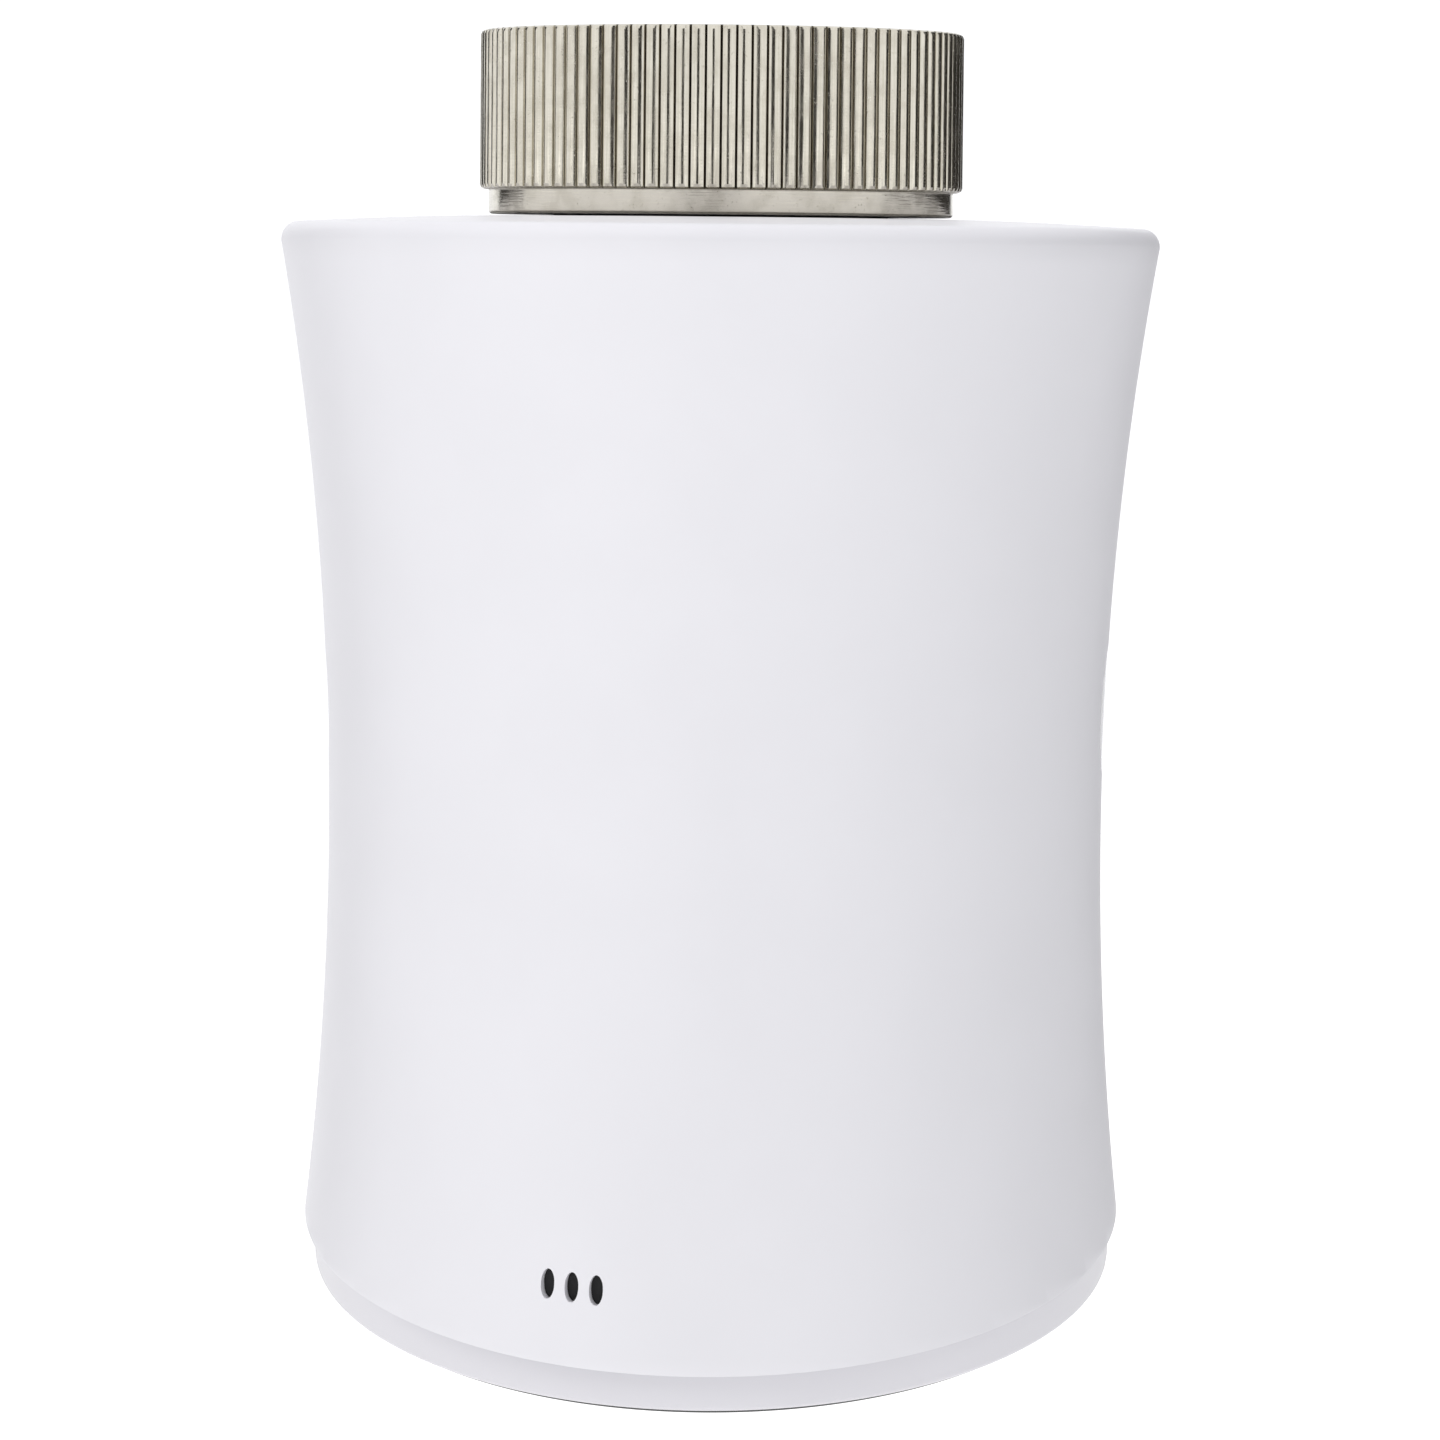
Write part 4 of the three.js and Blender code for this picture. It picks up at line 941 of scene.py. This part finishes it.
def makePusher():
    p = pusher
    profile = [(1.2, p["padTop"] - 0.4), (1.6, p["padTop"] - 0.4), (1.9, p["padTop"] - 0.05),
               (p["pad"] - 0.4, p["padTop"]), (p["pad"], p["padTop"] - 0.4), (p["pad"], p["padFoot"] + 0.3),
               (p["pad"] - 0.3, p["padFoot"]), (p["rod"] + 0.5, p["padFoot"]), (p["rod"], p["padFoot"] - 0.5)]
    rows = threadRows(p["rodFoot"] + 0.6, p["padFoot"] - 1.5, p["pitch"])
    profile += [(p["rod"], height) for height in reversed(rows)] + [(p["rod"] - 0.5, p["rodFoot"])]
    piece = turnedPiece("pusher", profile, 80, ends="flat")
    cutThread(piece, p["rod"], -0.5, p["pitch"], rows[0] + 0.05, rows[-1] - 0.05)
    for side in (-1, 1):
        ends = sorted((side * (neck["bore"] - 1.6), side * (neck["bore"] + 1)))
        combine(piece, blockPiece("notch", (ends[0], -1.1, p["padFoot"] - 1), (ends[1], 1.1, p["padTop"] + 1)))
    piece.name = "threadedPusher"
    finishPiece(piece, "pusher", finishes["steel"], ["pusher"], 28)


makeNeck()
makeSnapRing()
makePusher()
print("neck and pusher done")


# involute gears, one profile for wheel and pinion, the teeth shaped on its rims
gearTrain = {
    "pressure": 25.0,
    "fine": 0.4,
    "coarse": 0.5,
    "backlash": 0.14,
    "addendum": 0.8,
    "dedendum": 1.05,
}


def toothRadius(angle, teeth, gearModule):
    g = gearTrain
    pressure = math.radians(g["pressure"])
    pitchRadius = teeth * gearModule / 2
    base = pitchRadius * math.cos(pressure)
    tip = pitchRadius + g["addendum"] * gearModule
    root = pitchRadius - g["dedendum"] * gearModule

    def halfAt(radius):
        turn = math.acos(min(1, base / radius))
        atPitch = math.pi / (2 * teeth) - g["backlash"] / (2 * pitchRadius)
        return atPitch + math.tan(pressure) - pressure - math.tan(turn) + turn
    pitch = 2 * math.pi / teeth
    away = abs((angle + pitch / 2) % pitch - pitch / 2)
    low, high = max(base, root), tip
    if away <= halfAt(tip):
        return tip
    if away >= halfAt(low):
        return root if away > halfAt(low) + 0.12 * pitch else (root + low) / 2
    for _ in range(24):
        middle = (low + high) / 2
        low, high = (middle, high) if halfAt(middle) > away else (low, middle)
    return low


def tipOf(teeth, gearModule):
    return (teeth / 2 + gearTrain["addendum"]) * gearModule


# stages: (teeth, module, tooth angle) for each rim radius that carries teeth
def makeGear(name, node, body, profile, stages, columns, finish="gear"):
    piece = turnedPiece(name, profile, columns)

    def wanted(radius, angle, height):
        for teeth, gearModule, toothAngle in stages:
            tip = tipOf(teeth, gearModule)
            if tip - 0.13 < radius < tip + 0.001:
                return min(radius, toothRadius(angle - toothAngle, teeth, gearModule))
        return None
    reshape(piece, wanted)
    x, y, _ = middleOf(node)
    if node == "drive_gear":
        x, y = 0, 0
    setDown(piece, (x, y, 0))
    return finishPiece(piece, body, finishes[finish], [node], 30)


def lineAngle(first, second):
    return math.atan2(second[1] - first[1], second[0] - first[0])


def rimRows(radius, low, high):
    return [(radius - 0.12, low), (radius, low + 0.12), (radius, high - 0.12), (radius - 0.12, high)]


def makeGears():
    g = gearTrain
    gear2At, gear1At, motorAt = middleOf("gear_2_axle"), middleOf("gear_1_axle"), middleOf("motor_shaft")
    angle2 = lineAngle((0, 0), gear2At)
    angle1 = lineAngle(gear2At, gear1At)
    motorTurn = lineAngle(gear1At, motorAt)
    driveTip = tipOf(34, g["coarse"])
    profile = [(3.3, -39.0), (4.2, -39.0), (4.4, -38.8), (4.4, -37.5), (5.4, -37.5), (5.7, -37.1), (6.9, -37.1),
               (7.2, -37.5)] + rimRows(driveTip, -37.5, -34.0)
    profile += [(7.2, -34.0), (6.9, -34.4), (5.7, -34.4), (5.4, -34.0), (4.4, -34.0), (4.4, -26.5), (4.2, -26.3),
                (3.3, -26.3)]
    makeGear("driveGear", "drive_gear", "drive_gear", profile, [(34, g["coarse"], angle2)], 544)
    wheelTip, pinionTip = tipOf(32, g["fine"]), tipOf(12, g["coarse"])
    profile = [(0.85, -37.5)] + rimRows(pinionTip, -37.5, -33.4)[:3] + [(pinionTip, -33.4)]
    profile += rimRows(wheelTip, -33.4, -30.9) + [(4.9, -30.9), (4.6, -31.3), (2.2, -31.3), (1.9, -30.9),
                                                 (0.85, -30.9)]
    stages = [(32, g["fine"], angle1), (12, g["coarse"], angle2 + math.pi + math.pi / 12)]
    makeGear("gearTwo", "gear_2", "gear_2", profile, stages, 480)
    wheelTip, pinionTip = tipOf(34, g["fine"]), tipOf(10, g["fine"])
    profile = [(0.85, -33.4)] + rimRows(pinionTip, -33.4, -30.3)[:3] + [(pinionTip, -30.3)]
    profile += rimRows(wheelTip, -30.3, -27.8) + [(5.2, -27.8), (4.9, -28.2), (2.2, -28.2), (1.9, -27.8),
                                                 (0.85, -27.8)]
    stages = [(34, g["fine"], motorTurn), (10, g["fine"], angle1 + math.pi + math.pi / 10)]
    makeGear("gearOne", "gear_1", "gear_1", profile, stages, 510)
    profile = [(0.8, -30.3)] + rimRows(tipOf(10, g["fine"]), -30.3, -27.8) + [(0.8, -27.8)]
    stages = [(10, g["fine"], motorTurn + math.pi + math.pi / 10)]
    makeGear("motorPinion", "motor_pinion", "rotor", profile, stages, 320, "brass")


def pinPiece(name, node, body, finish="steel"):
    low, high = boxOf(node)
    radius = (high[0] - low[0]) / 2
    profile = [(radius - 0.15, low[2]), (radius, low[2] + 0.15), (radius, high[2] - 0.15), (radius - 0.15, high[2])]
    piece = turnedPiece(name, profile, 40, ends="flat")
    x, y, _ = middleOf(node)
    finishPiece(setDown(piece, (x, y, 0)), body, finishes[finish], [node], 30)


def makeMotor():
    low, high = boxOf("motor")
    x, y, _ = middleOf("motor")
    foot, top = low[2], high[2]
    profile = [(1.6, top), (1.6, top - 0.5), (4.9, top - 0.5), (5.2, top - 0.8), (5.2, top - 2.5), (5.7, top - 2.5),
               (6.0, top - 2.8), (6.0, top - 5.0), (5.9, top - 5.1), (5.9, top - 5.4), (6.0, top - 5.5),
               (6.0, foot + 0.6)] + arc(5.4, foot + 0.6, 0.6, 0.6, 0, -90, 4)[1:]
    profile += [(2.6, foot), (2.4, foot + 0.25), (1.5, foot + 0.25), (1.3, foot), (0.85, foot), (0.85, foot + 4)]
    motor = turnedPiece("motorCan", profile, 96, ends="flat")
    slots = []
    for turn in (60, 180, 300):
        sx, sy = onCircle(3.6, turn)
        slots.append(setDown(blockPiece("slot", (-0.9, -0.35, top - 1.6), (0.9, 0.35, top + 1)), (sx, sy, 0),
                             (0, 0, turn + 90)))
    combine(motor, *slots)
    setDown(motor, (x, y, 0))
    finishPiece(motor, "body", finishes["steel"], ["motor"], 32)


makeGears()
pinPiece("gearOneAxle", "gear_1_axle", "body")
pinPiece("gearTwoAxle", "gear_2_axle", "body")
pinPiece("motorShaft", "motor_shaft", "rotor")
makeMotor()
print("gear train done")


# mouldings and sheet parts that keep the CAD shape, with clean faces and softened edges
refined = [
    ("neck_flange", "neckFlange", "body", "grey_plastic", "grey", 0.15),
    ("gearbox_housing", "gearboxHousing", "body", "grey_plastic", "grey", 0.12),
    ("gearbox_lid", "gearboxLid", "body", "grey_plastic", "grey", 0.12),
    ("contact_socket", "contactSocket", "body", "dark_plastic", "dark", 0.12),
    ("motor_lead_1", "redLead", "body", "wire_red", "red", 0),
    ("motor_lead_2", "blackLead", "body", "wire_black", "black", 0),
    ("motor_board", "motorBoard", "body", "circuit_board", "board", 0.06),
    ("front_cap", "frontCap", "front_module", "white_plastic", "cap", 0.12),
    ("battery_tray", "batteryTray", "front_module", "grey_plastic", "grey", 0.12),
    ("battery_bridge", "cellBridge", "front_module", "contact_metal", "contact", 0.12),
    ("battery_contact", "cellContact", "front_module", "contact_metal", "contact", 0.12),
    ("light_guide", "lightGuide", "front_module", "diffuser", "milk", 0.1),
    ("led_matrix", "ledMatrix", "front_module", "chip_black", "chip", 0.1),
    ("display_board", "displayBoard", "front_module", "circuit_board", "board", 0.06),
    ("main_board", "mainBoard", "front_module", "circuit_board", "board", 0.06),
    ("temperature_sensor", "temperatureSensor", "front_module", "chip_black", "chip", 0.1),
    ("processor", "processor", "front_module", "chip_black", "chip", 0.08),
    ("radio_module", "radioShield", "front_module", "steel", "steel", 0.15),
    ("contact_plug", "contactPlug", "front_module", "dark_plastic", "dark", 0.12),
]
for node, name, body, slot, finish, soft in refined:
    if name == node:
        name += "Chip"
    finishPiece(refinedCopy(node, name, soft), body, finishes[finish], [node], 40)
print("mouldings refined")


# two cells, the left one nub up and the right one nub down
cell = {"radius": 7.1, "jacket": 0.18, "shoulder": 0.7, "nub": 2.75, "nubHeight": 1.2}


def makeCells():
    c = cell
    for node, name, turn in (("battery_left", "cellLeft", 0), ("battery_right", "cellRight", 180)):
        low, high = boxOf(node)
        x, y, z = middleOf(node)
        half = (high[2] - low[2]) / 2
        can = c["radius"] - c["jacket"]
        shoulder = half - c["nubHeight"]
        profile = [(can - 1.4, -half), (can - 0.9, -half + 0.1)] + arc(can - 0.5, -half + 0.5, 0.5, 0.4, -90, 0, 4)
        profile += arc(can - 0.5, shoulder - 0.5, 0.5, 0.5, 0, 90, 4)
        profile += [(c["nub"] + 1.2, shoulder), (c["nub"] + 0.9, shoulder - 0.25), (c["nub"] + 0.2, shoulder - 0.25),
                    (c["nub"], shoulder), (c["nub"], half - 0.3), (c["nub"] - 0.3, half)]
        piece = turnedPiece(name, profile, 96, ends="flat")
        setDown(piece, (0, 0, 0), (turn, 0, 0))
        setDown(piece, (x, y, z))
        finishPiece(piece, "front_module", finishes["contact"], [node], 35)
        outer = c["radius"]
        profile = [(can - 0.6, -half + 0.05), (outer - 0.5, -half + 0.02), (outer, -half + 0.45), (outer, shoulder - 0.5),
                   (outer - 0.45, shoulder + 0.02), (outer - 1.6, shoulder + 0.05), (outer - 1.6, shoulder - 0.05),
                   (can - 0.3, shoulder - 0.1), (can + 0.02, shoulder - 0.5), (can + 0.02, -half + 0.5),
                   (can - 0.3, -half + 0.15)]
        jacket = turnedPiece(name + "Jacket", profile, 96)
        setDown(jacket, (0, 0, 0), (turn, 0, 0))
        setDown(jacket, (x, y, z))
        finishPiece(jacket, "front_module", finishes["jacket"], (), 40)
    low, high = boxOf("battery_spring")
    x, y, _ = middleOf("battery_left")
    spring = coilPiece("cellSpring", 4.6, 0.3, low[2], high[2], 3)

    def taper(radius, angle, height):
        share = (height - low[2]) / (high[2] - low[2])
        return radius * round(1 - 0.42 * share, 2)
    reshape(spring, taper)
    setDown(spring, (x, y, 0))
    finishPiece(spring, "front_module", finishes["contact"], ["battery_spring"], 60)


makeCells()
print("cells done")


# small parts on the boards: ceramic blocks with tinned ends, in rows clear of the big parts
def chipPart(name, x, face, z, along, across, tall, outward=1, turned=False):
    sizeX, sizeZ = (across, along) if turned else (along, across)
    ends = sorted((face, face + outward * tall))
    part = blockPiece(name, (x - sizeX / 2, ends[0], z - sizeZ / 2), (x + sizeX / 2, ends[1], z + sizeZ / 2))
    return softenEdges(part, 0.05, 1)


def makeBoardParts():
    low, high = boxOf("main_board")
    face = high[1] + 0.02
    bodies, ends = [], []
    rows = [(-17 + 2.4 * i, -68.6, i % 2 == 0) for i in range(5)]
    rows += [(11.6, -66 + 2.1 * i, i % 2 == 1) for i in range(9)]
    rows += [(14.6, -65 + 2.6 * i, i % 3 == 0) for i in range(7)]
    rows += [(-17.5 + 2.6 * i, -53.6, i % 2 == 1) for i in range(4)]
    rows += [(1.5 + 2.2 * i, -67.6, False) for i in range(4)]
    for index, (x, z, upright) in enumerate(rows):
        bodies.append(chipPart(f"part{index}", x, face, z, 1.0, 0.8, 0.55, turned=upright))
        for side in (-1, 1):
            px, pz = (x, z + side * 0.62) if upright else (x + side * 0.62, z)
            ends.append(chipPart(f"end{index}", px, face, pz, 0.26, 0.82, 0.57, turned=upright))
    finishPiece(joinUp(bodies), "front_module", finishes["ceramic"]).name = "boardCeramics"
    finishPiece(joinUp(ends), "front_module", finishes["contact"]).name = "boardPartEnds"
    legs = []
    low, high = boxOf("processor")
    for index in range(8):
        shift = 0.9 + index * (high[2] - low[2] - 1.8) / 7
        for side, x in ((-1, low[0]), (1, high[0])):
            ends = sorted((x - side * 0.1, x + side * 0.75))
            z = low[2] + shift
            legs.append(blockPiece("leg", (ends[0], face, z - 0.15), (ends[1], face + 0.35, z + 0.15)))
            softenEdges(legs[-1], 0.06, 1)
    finishPiece(joinUp(legs), "front_module", finishes["contact"]).name = "processorLegs"
    low, high = boxOf("motor_board")
    under = low[2] - 0.02
    parts = []
    for index in range(6):
        x = -11 + index * 2.1 if index < 3 else 7.5 + (index - 3) * 2.1
        parts.append(blockPiece("part", (x - 0.5, 12.6, under - 0.6), (x + 0.5, 13.6, under)))
        softenEdges(parts[-1], 0.06, 1)
    finishPiece(joinUp(parts), "body", finishes["ceramic"]).name = "motorBoardParts"


# near-black plugs held in the vents, painted shade inside the vent holes
def makeVentShadePlugs():
    plugs = []
    for azimuth, radius, level in ventPlaces():
        face = flankAt(level) - vents["shadePlugDepth"]
        plugs.append(ovalBar("ventShadePlug", vents["width"] - 0.01, vents["height"] - 0.01,
                             face - 0.9, face, azimuth, level))
        softenEdges(plugs[-1], 0.04, 1)
    finishPiece(joinUp(plugs), "body", finishes["ventShade"]).name = "ventShadePlug"


makeBoardParts()
makeVentShadePlugs()
print("board parts done")


# plain pale stage, big soft lights, and dark cards that only the gloss sees
stage = {"gap": 68, "width": 3000, "depth": 2400, "glow": 0.8}      # gap: room for the front to slide out
lights = {
    "key": {"place": (-640, -640, 420), "size": 500, "power": 3.5, "colour": (1.0, 0.995, 0.985)},
    "fill": {"place": (440, -790, 380), "size": 500, "power": 2.0, "colour": (1.0, 1.0, 1.0)},
    "top": {"place": (-60, 60, 900), "size": 500, "power": 5.5, "colour": (1.0, 1.0, 1.0)},
}
tent = {"colour": (0.98, 0.985, 1.0), "light": 0.33, "seen": 1.12}
darkCards = {"reach": 600, "height": 700, "spans": [(-126, 15), (-4, 15), (118, 30), (150, 12)]}


def makeStage():
    s = stage
    floorHeight = cadBounds[0][2] / mm - s["gap"]
    letGo()
    bpy.ops.mesh.primitive_plane_add(size=1, location=(0, 0, floorHeight * mm))
    floor = bpy.context.active_object
    floor.name = "paleFloor"
    floor.scale = (s["width"] * mm, s["depth"] * mm, 1)
    bpy.ops.object.transform_apply(location=True, rotation=True, scale=True)
    made = Finish("paleStage", Roughness=0.85, Emission_Color=shade(1, 1, 1), Emission_Strength=s["glow"])
    mottle = made.noise(60, 2).between(0.3, 0.7)
    made.colour(made.blend(mottle, shade(0.60, 0.60, 0.60), shade(0.63, 0.63, 0.63)))
    floor.data.materials.append(made.material)


def aimAtMiddle(holder):
    middle = (cadBounds[0] + cadBounds[1]) / 2
    holder.rotation_mode = "QUATERNION"
    holder.rotation_quaternion = (middle - holder.location).to_track_quat("-Z", "Y")


def makeLights():
    for name, values in lights.items():
        lamp = bpy.data.lights.new(name, "AREA")
        lamp.size = values["size"] * mm
        lamp.energy = values["power"]
        lamp.color = values["colour"]
        holder = bpy.data.objects.new(name, lamp)
        holder.location = [value * mm for value in values["place"]]
        holder.visible_glossy = False
        bpy.context.scene.collection.objects.link(holder)
        aimAtMiddle(holder)
    world = bpy.data.worlds.new("tent")
    bpy.context.scene.world = world
    world.use_nodes = True
    nodes, links = world.node_tree.nodes, world.node_tree.links
    ray = nodes.new("ShaderNodeLightPath")
    seen = nodes.new("ShaderNodeMath")
    seen.operation = "MAXIMUM"
    links.new(ray.outputs["Is Camera Ray"], seen.inputs[0])
    links.new(ray.outputs["Is Glossy Ray"], seen.inputs[1])
    level = nodes.new("ShaderNodeMapRange")
    level.inputs["To Min"].default_value = tent["light"]
    level.inputs["To Max"].default_value = tent["seen"]
    links.new(seen.outputs[0], level.inputs["Value"])
    background = nodes["Background"]
    background.inputs["Color"].default_value = (*tent["colour"], 1)
    links.new(level.outputs[0], background.inputs["Strength"])


def makeCards():
    d = darkCards
    dark = Finish("cardGrey", Base_Color=shade(0.012, 0.010, 0.008), Roughness=0.9).material
    for index, (azimuth, halfWidth) in enumerate(d["spans"]):
        letGo()
        width = 2 * d["reach"] * math.tan(math.radians(halfWidth))
        turn = math.radians(azimuth)
        place = (d["reach"] * math.sin(turn) * mm, -d["reach"] * math.cos(turn) * mm, 0)
        bpy.ops.mesh.primitive_plane_add(size=1, location=place, rotation=(math.pi / 2, 0, turn))
        card = bpy.context.active_object
        card.name = "darkCard" + str(index + 1)
        card.scale = (width * mm, d["height"] * mm, 1)
        card.data.materials.append(dark)
        card.visible_camera = False
        card.visible_diffuse = False
        card.visible_shadow = False
        card.visible_transmission = False


makeStage()
makeLights()
makeCards()
print("stage done")
